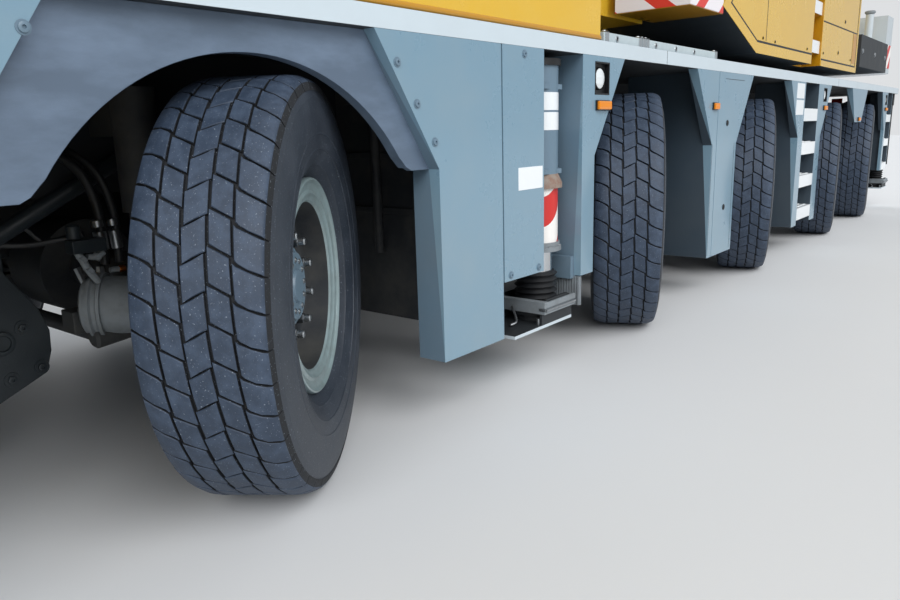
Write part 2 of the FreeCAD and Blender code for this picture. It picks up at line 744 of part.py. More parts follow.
def make_engine_cover():
    """Sheet cover on the front of the deck, with rolled lower lips and louvres, and the engine."""
    front = behind(COVER_FRONT)
    rear = behind(COVER_REAR)
    low = d.deck_top
    top = d.boom_pivot_height - COVER_DROP
    side = HALF - 20
    wall = COVER_WALL
    slope = 180
    inner = slope + 10
    outline = [(-side, low), (side, low), (side, top - slope), (side - slope, top),
               (-side + slope, top), (-side, top - slope)]
    inside = [(-side + wall, low - 1), (side - wall, low - 1), (side - wall, top - inner),
              (side - inner, top - wall), (-side + inner, top - wall), (-side + wall, top - inner)]
    shell = prism("front", [outline], rear, front)
    tools = [prism("front", [inside], rear + wall, front - wall)]
    first, pitch, slots, width, lower, upper = LOUVRES
    for number in range(slots):
        place_s = first + pitch * number
        tools.append(box((behind(place_s + width), -side - 1, top - lower),
                         (behind(place_s), side + 1, top - upper)))
    lip = rod((rear, side - COVER_LIP / 2, low + COVER_LIP + d.running_gap), front - rear, COVER_LIP, "x")
    node("engine_cover", fuse([cut(shell, tools)] + both(lip)))
    node("engine", box((rear + 400, -480, low), (front - 700, 480, top - 120)))


CAB_FRONT = -2700
CAB_REAR = -960
CAB_LOW = 560
CAB_SILL = 1560
CAB_TOP = d.boom_pivot_height - 150
CAB_WALL = 40
CAB_RAKE = 230
BUMPER_LOW = 400
BUMPER_LONG = 380
DOOR_FRONT = -2250
DOOR_REAR = -1250
DOOR_LOW = 900
DOOR_TOP = CAB_TOP - 130
HINGE_RADIUS = 13
HINGE_HEIGHTS = (1050, 1600, 2150)
# Grille slots in the cab's nose: lowest, pitch, slots, height, half width
GRILLE = (880, 62, 6, 30, 620)
# Headlamp pockets in the bumper: inner and outer edge from the middle, bottom and top
HEADLAMPS = ((1010, 1240, 430, 530), (760, 960, 430, 530))
SEAT_PLACES = (-650, 650)


def cab_profile(inset):
    """Side outline of the carrier cab, that far inside its outer faces."""
    front = behind(CAB_FRONT) - inset
    return [
        (behind(CAB_REAR) + inset, CAB_LOW + inset), (front - 60, CAB_LOW + inset), (front, CAB_LOW + 90),
        (front, CAB_SILL), (front - CAB_RAKE, CAB_TOP - 110), (front - CAB_RAKE - 130, CAB_TOP - inset),
        (behind(CAB_REAR) + inset, CAB_TOP - inset)]


def cab_door(side):
    """Left door leaf with its window and three hinge knuckles at its front edge."""
    gap = d.clear_gap
    leaf = cut(
        box((behind(DOOR_REAR) + gap, side - CAB_WALL, DOOR_LOW + gap),
            (behind(DOOR_FRONT) - gap, side, DOOR_TOP - gap)),
        [prism("side", [[
            (behind(DOOR_REAR) + 110, CAB_SILL + 140), (behind(DOOR_FRONT) - 110, CAB_SILL + 80),
            (behind(DOOR_FRONT) - 110, DOOR_TOP - 300), (behind(DOOR_FRONT) - 230, DOOR_TOP - 100),
            (behind(DOOR_REAR) + 110, DOOR_TOP - 100)]], side - CAB_WALL - 1, side + 1)])
    pieces = [leaf]
    hinge_y = side + HINGE_RADIUS + d.running_gap
    for z in HINGE_HEIGHTS:
        pieces.append(rod((behind(DOOR_FRONT) - 3, hinge_y, z), 90, HINGE_RADIUS))
        pieces.append(box((behind(DOOR_FRONT) - 90, side - 5, z + 20),
                          (behind(DOOR_FRONT) - 3, hinge_y, z + 70)))
    return fuse(pieces)


def cab_seat(y):
    """Seat with its raked backrest."""
    cushion = [(behind(-1480), CAB_LOW + CAB_WALL), (behind(-1960), CAB_LOW + CAB_WALL),
               (behind(-2010), 1090), (behind(-1980), 1150), (behind(-1530), 1130), (behind(-1440), 1900),
               (behind(-1340), 1900), (behind(-1400), 1020)]
    return prism("side", [cushion], y - 250, y + 250)


def make_cab():
    """Hollow carrier cab with its door openings, windows and doors, its bumper, seats and dash."""
    side = HALF - 10
    w = CAB_WALL
    shell = prism("side", [cab_profile(0)], -side, side)
    room = prism("side", [cab_profile(w)], -side + w, side - w)
    front = behind(CAB_FRONT)
    screen = prism("side", [[
        (front - 200, CAB_SILL + 80), (front + 80, CAB_SILL + 80), (front - CAB_RAKE + 80, CAB_TOP - 190),
        (front - CAB_RAKE - 200, CAB_TOP - 190)]], -side + 120, side - 120)
    doorway = box((behind(DOOR_REAR), -side - 1, DOOR_LOW), (behind(DOOR_FRONT), side + 1, DOOR_TOP))
    quarter = box((behind(DOOR_FRONT - 40), -side - 1, 1700), (behind(DOOR_FRONT - 110), side + 1, 2200))
    tools = [room, screen, doorway, quarter]
    lowest, pitch, slots, tall, half = GRILLE
    for number in range(slots):
        z = lowest + pitch * number
        tools.append(box((front - w / 2, -half, z), (front + 1, half, z + tall)))
    bumper = box((behind(CAB_FRONT + BUMPER_LONG), -side, BUMPER_LOW), (front, side, CAB_LOW + 10))
    pockets = []
    for near, far, low, high in HEADLAMPS:
        for start in (near, -far):
            pockets.append(box((front - 70, start, low), (front + 1, start + far - near, high)))
    node("cab_shell", fuse([cut(shell, tools), cut(bumper, pockets)]))
    door = cab_door(side)
    node("cab_door_left", door)
    node("cab_door_right", mirror(door))
    dash = prism("side", [[
        (front - w, 1100), (front - w, 1500), (front - 250, 1480), (front - 390, 1340), (front - 390, 1220),
        (front - 300, 1100)]], -side + 80, side - 80)
    node("cab_interior", group([cab_seat(y) for y in SEAT_PLACES] + [dash]))


CHEEK_INSIDE = 430
CHEEK_OUTSIDE = 480
BOOM_PIN = 70
LUFF_PIN = 60
LUFF_ROD = 95
LUFF_FOOT = (7600, 1900)
LUFF_EYE = (4800, d.boom_pivot_height - 220)
# Hoist drum between the cheeks: place behind the first axle, height, radius, flange's radius
DRUM = (9290, 2100, 200, 285)
# Step recess in the left housing: front and rear edge, and the treads' undersides
HOUSING_RECESS = (5900, 6220)
HOUSING_TREADS = (1760, 2090)
HOUSING_DEPTH = 160
SIDE_FACE = 15
RING_RADIUS = 800
TURNTABLE_FRONT = 3620
TURNTABLE_REAR = 9600
# Crossmember ahead of the turntable: place, half width, underside and top
NOSE_FRONT = 3020
NOSE_HALF = 820
NOSE_LOW = 1843
NOSE_TOP = 2090
# Operator's cab: inner face and wall
CAB_ROOM = (500, 40)


def make_turntable():
    """Slew ring, floor, cheek plates, pins, hoist drum and the front crossmember."""
    centre = behind(d.slew_place)
    foot_place, foot_height = LUFF_FOOT
    room = d.upper_floor - d.deck_top
    ring = rod((centre, 0, d.deck_top + d.running_gap), room - 2 * d.running_gap, RING_RADIUS)
    neck = rod((centre, 0, d.deck_top + 20), room - 19, CHEEK_INSIDE)
    front = behind(TURNTABLE_FRONT)
    rear = behind(TURNTABLE_REAR)
    floor = box((rear, -CHEEK_OUTSIDE, d.upper_floor), (front, CHEEK_OUTSIDE, d.upper_floor + 90))
    pivot = d.boom_pivot_height
    outline = [
        (rear, d.upper_floor), (front, d.upper_floor), (front, 2000), (behind(6900), 2250),
        (behind(8700), pivot + 130), (behind(8800), pivot + 180),
        (behind(9170), pivot + 180), (behind(9260), pivot + 110), (rear, 2300)]
    window = [(behind(8450), 1900), (behind(7900), 1900), (behind(8450), 2480)]
    cheek = prism("side", [outline, window], CHEEK_INSIDE, CHEEK_OUTSIDE)
    across = 2 * CHEEK_OUTSIDE
    pin = rod((behind(d.boom_pivot_place), -CHEEK_OUTSIDE, pivot), across, BOOM_PIN, "y")
    foot = rod((behind(foot_place), -CHEEK_OUTSIDE, foot_height), across, LUFF_PIN, "y")
    drum_place, drum_height, drum_radius, flange_radius = DRUM
    drum = turned([
        (-CHEEK_INSIDE - 1, 0), (-CHEEK_INSIDE - 1, 60), (-340, 60), (-340, flange_radius),
        (-318, flange_radius), (-318, drum_radius), (318, drum_radius), (318, flange_radius),
        (340, flange_radius), (340, 60), (CHEEK_INSIDE + 1, 60), (CHEEK_INSIDE + 1, 0)])
    place(drum, behind(drum_place), 0, drum_height)
    nose = box((front, -NOSE_HALF, NOSE_LOW), (behind(NOSE_FRONT), NOSE_HALF, NOSE_TOP))
    node("turntable", fuse([ring, neck, floor, cheek, mirror(cheek), pin, foot, drum, nose]))


def make_housings():
    """Housings on both sides of the superstructure, the left one with a recess for its steps."""
    outline = [(behind(3900), 2150), (behind(3628), 1900), (behind(4354), d.upper_floor),
               (behind(7730), d.upper_floor), (behind(7730), 2390), (behind(7670), 2450),
               (behind(4650), 2450), (behind(4650), 2150)]
    form = prism("side", [outline], CHEEK_OUTSIDE, HALF - SIDE_FACE)
    start, end = HOUSING_RECESS
    face = HALF - SIDE_FACE
    recess = box((behind(end), face - HOUSING_DEPTH, d.upper_floor - 1), (behind(start), face + 1, 2330))
    treads = []
    for z in HOUSING_TREADS:
        treads.append(box((behind(end), face - HOUSING_DEPTH - 1, z), (behind(start), face - 20, z + 45)))
    node("housings", group([fuse([cut(form, [recess])] + treads), mirror(form)]))


# Tail block: rear face behind the first axle, and the two places where its corners turn
TAIL = (10200, 10130, 9980)


def make_counterweight():
    """Ballast: a tail block with rounded corners and two side slabs with lifting posts."""
    half = HALF - 60
    rear, corner, start = [behind(place_s) for place_s in TAIL]
    outline = [(behind(TURNTABLE_REAR), -half), (behind(TURNTABLE_REAR), half), (start, half),
               (corner, half - 60), (rear, half - 260), (rear, 260 - half), (corner, 60 - half),
               (start, -half)]
    tail = prism("plan", [outline], 1740, 2420)
    slab = box((behind(9700), CHEEK_OUTSIDE, 1740), (behind(8100), HALF - 50, 2080))
    posts = [rod((behind(place_s), HALF - 220, 2079), 342, 45) for place_s in (8350, 9350)]
    node("counterweight", fuse([tail] + both(fuse([slab] + posts))))


def make_operator_cab():
    """Operator's cab on the left, with its windows and the sliding door on its rail."""
    low = 2150
    top = 3700
    y_in, w = CAB_ROOM
    y_out = HALF - SIDE_FACE
    rear = behind(4600)
    shell_outline = [(rear, low), (behind(3150), low), (behind(3010), 2700), (behind(3230), top - 90),
                     (behind(3330), top), (behind(4520), top), (rear, top - 80)]
    room_outline = [(rear + w, low + w), (behind(3150) - w, low + w), (behind(3010) - w, 2700),
                    (behind(3230) - w, top - 90 - w), (behind(3330) - w, top - w), (behind(4520), top - w),
                    (rear + w, top - 80 - w)]
    shell = prism("side", [shell_outline], y_in, y_out)
    room = prism("side", [room_outline], y_in + w, y_out - w)
    front_glass = [(behind(3260), 2250), (behind(2900), 2250), (behind(2900), top - 150),
                   (behind(3300), top - 150)]
    tools = [
        room,
        box((behind(3980), y_in - 1, 2400), (behind(3330), y_in + w + 1, top - 120)),
        box((behind(4500), y_in - 1, 2600), (behind(4090), y_out + 1, top - 120)),
        box((behind(4601), y_in + 120, 2600), (behind(4500), y_out - 120, top - 140)),
        prism("side", [front_glass], y_in + 70, y_out - 70),
        box((behind(3980), y_out - w - 1, low + 60), (behind(3330), y_out + 1, top - 90)),
    ]
    rail = box((rear, y_out - 1, top - 70 + d.running_gap), (behind(3340), y_out + 40, top - 30))
    node("operator_cab", fuse([cut(shell, tools), rail]))
    window = [(behind(3940), 2500), (behind(3900), 2450), (behind(3420), 2450), (behind(3380), 2500),
              (behind(3380), top - 190), (behind(3440), top - 130), (behind(3940), top - 130)]
    door = cut(
        box((behind(4000), y_out + d.clear_gap, low + 40), (behind(3345), y_out + 36, top - 70)),
        [prism("side", [window], y_out, y_out + 40)])
    node("operator_door", door)


BOOM_TAIL = 350
BOOM_FRONT = 650 - d.front_reach
BOOM_GAP = 90
COLLAR_LONG = 70
COLLAR_RISE = 24
HEAD_PINS = (3060, 3560)
SHEAVE_RADIUS = 160
SHEAVE_PLACES = (-150, -50, 50, 150)


def boom_outline(half, low, top):
    """Box section with a rounded belly."""
    return [(-half * 0.45, low), (half * 0.45, low), (half * 0.85, low + 110), (half, low + 260),
            (half, top - 40), (half - 40, top), (-half + 40, top), (-half, top - 40),
            (-half, low + 260), (-half * 0.85, low + 110)]


def boom_tube(step, front, rear):
    """Hollow section with a collar at its mouth, each step lying on the floor of the one before."""
    half = d.boom_width / 2 - d.boom_step * step
    low = d.boom_pivot_height - 50 + (d.boom_wall + d.running_gap) * step
    top = d.boom_pivot_height - 50 + d.boom_height - d.boom_step * step
    outer = boom_outline(half, low, top)
    inner = boom_outline(half - d.boom_wall, low + d.boom_wall, top - d.boom_wall)
    collar = boom_outline(half + COLLAR_RISE, low - COLLAR_RISE / 2, top + COLLAR_RISE)
    mouth = boom_outline(half - 1, low + 1, top - 1)
    return fuse([
        prism("front", [outer, inner], behind(rear), behind(front)),
        prism("front", [collar, mouth], behind(front + COLLAR_LONG), behind(front))])


def boom_head(front):
    """Head of the last section: two shaped plates, pins and two rows of grooved sheaves."""
    nose = behind(-d.front_reach)
    outline = [(behind(front + 40), 2960), (nose - 340, 2900), (nose - 120, 2900), (nose - 10, 2960),
               (nose, 3160), (nose - 70, 3330), (nose, 3460), (nose - 10, 3650), (nose - 120, 3720),
               (nose - 340, 3700), (behind(front + 40), 3600)]
    pieces = [prism("side", [outline], y, y + 30) for y in (-230, 200)]
    width = 30
    rim = SHEAVE_RADIUS
    for z in HEAD_PINS:
        pieces.append(rod((nose - 170, -240, z), 480, 40, "y"))
        for y in SHEAVE_PLACES:
            sheave = turned([
                (-width, 0), (-width, rim), (-width / 3, rim - 26), (width / 3, rim - 26), (width, rim),
                (width, 0)])
            pieces.append(place(sheave, nose - 170, y, z))
    pieces.append(rod((nose - 110, -240, 3310), 480, 30, "y"))
    pieces.append(box((behind(front + 40), -201, 3160), (nose - 350, 201, 3240)))
    return pieces


def make_boom():
    """Base section with its luffing ears, three sliding sections, and the head with its sheaves."""
    pivot = d.boom_pivot_place
    base = boom_tube(0, BOOM_FRONT, pivot + BOOM_TAIL)
    pin_hole = rod((behind(pivot), -500, d.boom_pivot_height), 1000, BOOM_PIN + d.running_gap, "y")
    eye_place, eye_height = LUFF_EYE
    x = behind(eye_place)
    root = d.boom_pivot_height - 40
    ear_outline = [(x - 190, root), (x - 90, eye_height - 70), (x - 45, eye_height - 105),
                   (x + 45, eye_height - 105), (x + 90, eye_height - 70), (x + 190, root)]
    ears = [cut(prism("side", [ear_outline], y, y + 40), [rod((x, y - 1, eye_height), 42, 50, "y")])
            for y in (-200, 160)]
    node("boom_base", cut(fuse([base] + ears), [pin_hole]))
    for step in (1, 2, 3):
        front = BOOM_FRONT - BOOM_GAP * step
        tube = boom_tube(step, front, pivot - 150 - 60 * step)
        if step == 3:
            tube = fuse([tube] + boom_head(front))
        node("boom_section_%d" % step, tube)


def make_luffing():
    """Barrel on the turntable's pin and its rod up to the boom."""
    foot_place, foot_height = LUFF_FOOT
    eye_place, eye_height = LUFF_EYE
    rise = value_of(eye_height) - foot_height
    run = math.hypot(foot_place - eye_place, rise)
    slope = math.degrees(math.atan2(rise, foot_place - eye_place))
    barrel = cut(
        fuse([rod((120, 0, 0), run - 420, 150, "x"), rod((0, -110, 0), 220, 150, "y"),
              rod((run - 360, 0, 0), 60, 172, "x")]),
        [rod((0, -111, 0), 222, LUFF_PIN + d.running_gap, "y"),
         rod((300, 0, 0), run, LUFF_ROD + d.running_gap, "x")])
    piston = fuse([
        rod((320, 0, 0), run - 320 - 60, LUFF_ROD, "x"),
        cut(rod((run, -90, 0), 180, 110, "y"), [rod((run, -91, 0), 182, 51, "y")])])
    for name, piece in (("luff_barrel", barrel), ("luff_rod", piston)):
        leaned = doc.addObject("Part::Compound", "Leaned")
        leaned.Links = [piece]
        leaned.Placement.Rotation = FreeCAD.Rotation(Y_AXIS, -slope)
        place(leaned, behind(foot_place), 0, foot_height)
        node(name, leaned)


def check_and_export():
    """Stop at a failed object, then write every sub-part."""
    doc.recompute()
    failed = [thing for thing in doc.Objects if "Invalid" in thing.State or "Error" in thing.State]
    if failed:
        raise RuntimeError("failed: " + ", ".join("%s %s" % (thing.Name, thing.Label) for thing in failed))
    os.makedirs("parts", exist_ok=True)
    for name, piece in nodes.items():
        shape = piece.Shape
        if shape.isNull() or not shape.isValid():
            raise RuntimeError(name + " is not a valid shape")
        shape.exportStep("parts/%s.step" % name)
        print("%-28s solids %2d volume %.4f m3" % (name, len(shape.Solids), shape.Volume / 1e9))


make_frame()
make_axles()
make_wheels()
make_outriggers()
make_deck()
make_panels()
make_fenders()
make_engine_cover()
make_cab()
make_turntable()
make_housings()
make_counterweight()
make_operator_cab()
make_boom()
make_luffing()
check_and_export()
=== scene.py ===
"""Five-axle mobile crane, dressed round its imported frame.

Everything is in metres in the crane's own frame: +X forward, +Y the crane's left, +Z up.
Places along the crane are often given as a distance behind the first axle.
"""
import logging
import math
from dataclasses import dataclass
from enum import Enum

import bmesh
import bpy
from mathutils import Matrix, Vector

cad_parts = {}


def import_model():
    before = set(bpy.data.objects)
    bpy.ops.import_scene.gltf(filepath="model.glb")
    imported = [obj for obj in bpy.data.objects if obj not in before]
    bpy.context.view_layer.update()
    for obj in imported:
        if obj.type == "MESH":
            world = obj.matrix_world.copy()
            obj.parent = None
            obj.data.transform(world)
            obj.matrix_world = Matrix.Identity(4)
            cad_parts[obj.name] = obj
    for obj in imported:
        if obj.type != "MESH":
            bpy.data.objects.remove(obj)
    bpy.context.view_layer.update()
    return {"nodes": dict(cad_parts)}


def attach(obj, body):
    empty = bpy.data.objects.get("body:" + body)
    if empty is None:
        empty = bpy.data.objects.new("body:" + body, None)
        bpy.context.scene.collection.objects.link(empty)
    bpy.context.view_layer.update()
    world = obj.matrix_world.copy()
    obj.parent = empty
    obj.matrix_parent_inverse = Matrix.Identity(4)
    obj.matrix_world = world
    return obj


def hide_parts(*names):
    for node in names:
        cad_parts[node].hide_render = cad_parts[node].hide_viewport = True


LOG = logging.getLogger("mobile_crane")

Point = tuple[float, float, float]
Outline = list[tuple[float, float]]
Socket = bpy.types.NodeSocket

AHEAD = (1.0, 0.0, 0.0)
LEFT = (0.0, 1.0, 0.0)
UP = (0.0, 0.0, 1.0)
DOWN = (0.0, 0.0, -1.0)

FIRST_AXLE_X = 3.6
AXLES = (0.0, 2.62, 4.80, 7.16, 8.94)
STEERING = (36.0, 27.0, 19.0, 13.0, 10.0)
KINGPIN_Y = 0.935
KINGPIN_TO_TYRE = 0.25
AXLE_HEIGHT = 0.675
SIDE = 1.375
DECK_BOTTOM = 1.495
DECK_TOP = 1.568
SIDES = ((1, "left"), (-1, "right"))
# Edges that turn by more than this, in radians, get a chamfer
SHARP_ANGLE = 0.5


def back(distance: float) -> float:
    """X of a place that many metres behind the first axle."""
    return FIRST_AXLE_X - distance


def linear(colour: str) -> tuple[float, float, float, float]:
    """Turn an sRGB hex colour to linear light.

    Args:
        colour: Hex colour such as "#7D9AAB".

    Returns:
        Red, green, blue and an alpha of 1, all linear.
    """
    channels = [int(colour[i:i + 2], 16) / 255 for i in (1, 3, 5)]
    red, green, blue = [c / 12.92 if c <= 0.04045 else ((c + 0.055) / 1.055) ** 2.4 for c in channels]
    return red, green, blue, 1.0


def add(tree: bpy.types.NodeTree, kind: str, inputs: dict | None = None) -> bpy.types.Node:
    """Add one node.

    Args:
        tree: Node tree that gets the node.
        kind: Blender's name for the node.
        inputs: Input socket (name or number) or property, and its value or the output that feeds it.

    Returns:
        The new node.
    """
    node = tree.nodes.new(kind)
    for key, value in (inputs or {}).items():
        if isinstance(value, Socket):
            tree.links.new(value, node.inputs[key])
        elif isinstance(key, int) or key in node.inputs:
            node.inputs[key].default_value = value
        else:
            setattr(node, key, value)
    return node


def per_metre(millimetres: float) -> float:
    """Noise scale, in cells to the metre, of a pattern that size."""
    return 1000.0 / millimetres


class Coating:
    """Nodes of one material: its shader, its object coordinates and what the finishes build from."""

    def __init__(self, material: bpy.types.Material) -> None:
        """Open a material's nodes.

        Args:
            material: The new material.
        """
        material.use_nodes = True
        self.tree = material.node_tree
        self.shader = self.tree.nodes["Principled BSDF"]
        self.place = add(self.tree, "ShaderNodeTexCoord").outputs["Object"]

    def set(self, **values: float) -> None:
        """Set inputs of the shader to numbers that are the same all over.

        Args:
            values: Input's name with _ for each space, and its number.
        """
        for name, value in values.items():
            self.shader.inputs[name.replace("_", " ")].default_value = value

    def noise(self, size_mm: float, detail: float, roughness: float = 0.5,
              place: Socket | None = None) -> bpy.types.Node:
        """Add noise.

        Args:
            size_mm: Size of its cells.
            detail: Finer layers in it.
            roughness: Weight of the finer layers.
            place: Coordinates, if not the object's own.

        Returns:
            The noise.
        """
        return add(self.tree, "ShaderNodeTexNoise",
                   {"Scale": per_metre(size_mm), "Detail": detail, "Roughness": roughness,
                    "Vector": place or self.place})

    def stretch(self, source: Socket, start: float, end: float, low: float, high: float) -> Socket:
        """Map a range of a value to another range.

        Args:
            source: The value.
            start: Value that gives the low end.
            end: Value that gives the high end.
            low: Low end.
            high: High end.

        Returns:
            The mapped value.
        """
        return add(self.tree, "ShaderNodeMapRange",
                   {"From Min": start, "From Max": end, "To Min": low, "To Max": high, "Value": source}).outputs[0]

    def maths(self, operation: str, one: Socket, other: Socket | float = 0.0) -> Socket:
        """Reckon with two values.

        Args:
            operation: Blender's name for the operation.
            one: First value.
            other: Second value.

        Returns:
            The result.
        """
        return add(self.tree, "ShaderNodeMath", {"operation": operation, 0: one, 1: other}).outputs[0]

    def paint(self, share: Socket, colour: str, over: str | None = None) -> None:
        """Lay a colour over the shader's base colour, or two colours on a bare shader.

        Args:
            share: Share of the upper colour from 0 to 1.
            colour: Upper colour.
            over: Lower colour; without it, what the base colour has so far.
        """
        base = self.shader.inputs["Base Color"]
        below = linear(over) if over else base.links[0].from_socket
        mix = add(self.tree, "ShaderNodeMix", {"data_type": "RGBA", 0: share, 6: below, 7: linear(colour)})
        self.tree.links.new(mix.outputs[2], base)

    def relief(self, height: Socket, depth_mm: float) -> None:
        """Raise bumps.

        Args:
            height: Height between 0 and 1.
            depth_mm: How tall a height of 1 stands.
        """
        bump = add(self.tree, "ShaderNodeBump", {"Strength": 1.0, "Distance": depth_mm / 1000, "Height": height})
        self.tree.links.new(bump.outputs[0], self.shader.inputs["Normal"])


@dataclass(frozen=True)
class Finish:
    """What every finish shares: its colour, a second colour that it wears or soils to (on the yellow enamel partly a
    painted sky reflection), and its gloss.
    """

    name: str
    colour: str
    second_colour: str
    roughness: float
    patch_mm: float = 400.0
    soiling: float = 0.35

    def material(self) -> bpy.types.Material:
        """The finish's material, made once and then shared."""
        known = bpy.data.materials.get(self.name)
        if known:
            return known
        material = bpy.data.materials.new(self.name)
        coating = Coating(material)
        coating.set(Roughness=self.roughness)
        self.dress(coating)
        return material

    def cloudy(self, coating: Coating, spread: float, place: Socket | None = None) -> bpy.types.Node:
        """Let the colour drift between clean and its second colour in soft patches, and the gloss with it.

        Args:
            coating: The material's nodes.
            spread: How far the roughness drifts either way; 0 keeps it even.
            place: Coordinates, if not the object's own.

        Returns:
            The noise of the patches.
        """
        noise = coating.noise(self.patch_mm, 6.0, 0.62, place)
        share = coating.stretch(noise.outputs[0], 0.42, 0.75, 0.0, self.soiling)
        coating.paint(share, self.second_colour, self.colour)
        if spread:
            drift = coating.stretch(noise.outputs[0], 0.3, 0.7, self.roughness - spread, self.roughness + spread)
            coating.tree.links.new(drift, coating.shader.inputs["Roughness"])
        return noise

    def dress(self, coating: Coating) -> None:
        """Soft patches of soil on a smooth face.

        Args:
            coating: The material's nodes.
        """
        self.cloudy(coating, 0.05)


@dataclass(frozen=True)
class Enamel(Finish):
    """Two-coat enamel sprayed on sheet steel: an even colour under a clear, glossy skin.

    The skin mirrors the surroundings softly, and its orange peel, a few millimetres across,
    makes those reflections waver.
    """

    peel_mm: float = 9.0
    coat: float = 0.5
    dust_mm: float = 60.0

    def dress(self, coating: Coating) -> None:
        """Clear coat, orange peel and a film of road dust that thickens towards the ground.

        Args:
            coating: The material's nodes.
        """
        coating.set(Coat_Weight=self.coat, Coat_Roughness=0.12)
        self.cloudy(coating, 0.06)
        coating.relief(coating.noise(self.peel_mm, 1.0).outputs[0], 0.08)
        height = add(coating.tree, "ShaderNodeSeparateXYZ", {0: coating.place}).outputs["Z"]
        low = coating.stretch(height, 0.2, 1.1, 0.3, 0.0)
        dust = coating.noise(self.dust_mm, 8.0, 0.7).outputs[0]
        coating.paint(coating.maths("MULTIPLY", low, dust), self.second_colour)


@dataclass(frozen=True)
class Casting(Finish):
    """Brushed paint over sand castings and plate: matt, pebbled, with pale road dust in patches."""

    grain_mm: float = 5.0

    def dress(self, coating: Coating) -> None:
        """Sand-cast pebbling under the dust.

        Args:
            coating: The material's nodes.
        """
        self.cloudy(coating, 0.1)
        coating.relief(coating.noise(self.grain_mm, 3.0).outputs[0], 0.5)


@dataclass(frozen=True)
class MouldedRubber(Finish):
    """Moulded rubber sheet: dull, with a grey bloom and long wiping marks."""

    grain_mm: float = 3.0
    wipe_mm: float = 120.0

    def dress(self, coating: Coating) -> None:
        """Bloom in stretched clouds, and the mould's fine grain.

        Args:
            coating: The material's nodes.
        """
        along = add(coating.tree, "ShaderNodeMapping", {"Scale": (0.5, 1.0, 1.4), "Vector": coating.place}).outputs[0]
        self.cloudy(coating, 0.08, along)
        wipes = coating.noise(self.wipe_mm, 8.0, 0.7, along)
        wipes.inputs["Distortion"].default_value = 0.6
        grain = coating.noise(self.grain_mm, 2.0)
        height = add(coating.tree, "ShaderNodeMix", {0: 0.35, 2: grain.outputs[0], 3: wipes.outputs[0]})
        coating.relief(height.outputs[0], 0.4)


@dataclass(frozen=True)
class TyreRubber(Finish):
    """Used tyre rubber: dull blue-black, greyed by dust, with pits from stones."""

    pit_mm: float = 7.0
    grit_mm: float = 5.0
    tear_mm: float = 3.0

    def dress(self, coating: Coating) -> None:
        """Dust in the pores, pale specks and a torn, pitted face.

        Args:
            coating: The material's nodes.
        """
        self.cloudy(coating, 0.06)
        grit = coating.noise(self.grit_mm, 2.0).outputs[0]
        coating.paint(coating.stretch(grit, 0.66, 0.74, 0.0, 0.5), "#9AA5B2")
        pits = add(coating.tree, "ShaderNodeTexVoronoi",
                   {"Scale": per_metre(self.pit_mm), "Randomness": 1.0, "Vector": coating.place})
        torn = coating.noise(self.tear_mm, 6.0, 0.8)
        height = add(coating.tree, "ShaderNodeMix", {0: 0.6, 2: pits.outputs[0], 3: torn.outputs[0]})
        coating.relief(height.outputs[0], 0.5)


@dataclass(frozen=True)
class Metal(Finish):
    """Bare or plated metal: zinc on bolts, hard chrome on rods, galvanised treads."""

    grain_mm: float = 12.0

    def dress(self, coating: Coating) -> None:
        """Full metal with a faint spread of gloss.

        Args:
            coating: The material's nodes.
        """
        coating.set(Metallic=1.0)
        self.cloudy(coating, 0.06)
        coating.relief(coating.noise(self.grain_mm, 4.0).outputs[0], 0.05)


@dataclass(frozen=True)
class Moulding(Finish):
    """Injection-moulded ABS or polypropylene: even colour, fine spark-eroded grain."""

    grain_mm: float = 4.0

    def dress(self, coating: Coating) -> None:
        """A leathery grain that keeps highlights broad.

        Args:
            coating: The material's nodes.
        """
        self.cloudy(coating, 0.05)
        grain = add(coating.tree, "ShaderNodeTexVoronoi",
                    {"Scale": per_metre(self.grain_mm), "Vector": coating.place})
        coating.relief(grain.outputs[0], 0.15)


@dataclass(frozen=True)
class Lens(Finish):
    """Lamp lens or window: clear or tinted, glossy, with its colour deep inside."""

    see_through: float = 0.0
    ribs_mm: float = 14.0

    def dress(self, coating: Coating) -> None:
        """Glossy face, and optic ribs behind it on a lamp.

        Args:
            coating: The material's nodes.
        """
        coating.set(Transmission_Weight=self.see_through, IOR=1.5)
        self.cloudy(coating, 0.0)
        if self.ribs_mm:
            ribs = add(coating.tree, "ShaderNodeTexWave",
                       {"bands_direction": "Z", "Scale": per_metre(self.ribs_mm) / 6.3, "Vector": coating.place})
            coating.relief(ribs.outputs[1], 1.0)


@dataclass(frozen=True)
class WarningTape(Finish):
    """Reflective tape in slanted red and white bars."""

    bar_mm: float = 140.0
    tilt: float = 1.0
    pale_share: float = 0.5

    def dress(self, coating: Coating) -> None:
        """Bars by the sum of the height and the place across or along the crane.

        Args:
            coating: The material's nodes.
        """
        along, across, height = add(coating.tree, "ShaderNodeSeparateXYZ", {0: coating.place}).outputs
        slant = coating.maths("MULTIPLY", height, self.tilt)
        total = coating.maths("ADD", coating.maths("ADD", along, across), slant)
        turns = coating.maths("MULTIPLY", total, per_metre(2 * self.bar_mm))
        bars = coating.maths("GREATER_THAN", coating.maths("FRACT", turns), self.pale_share)
        coating.paint(bars, self.second_colour, self.colour)


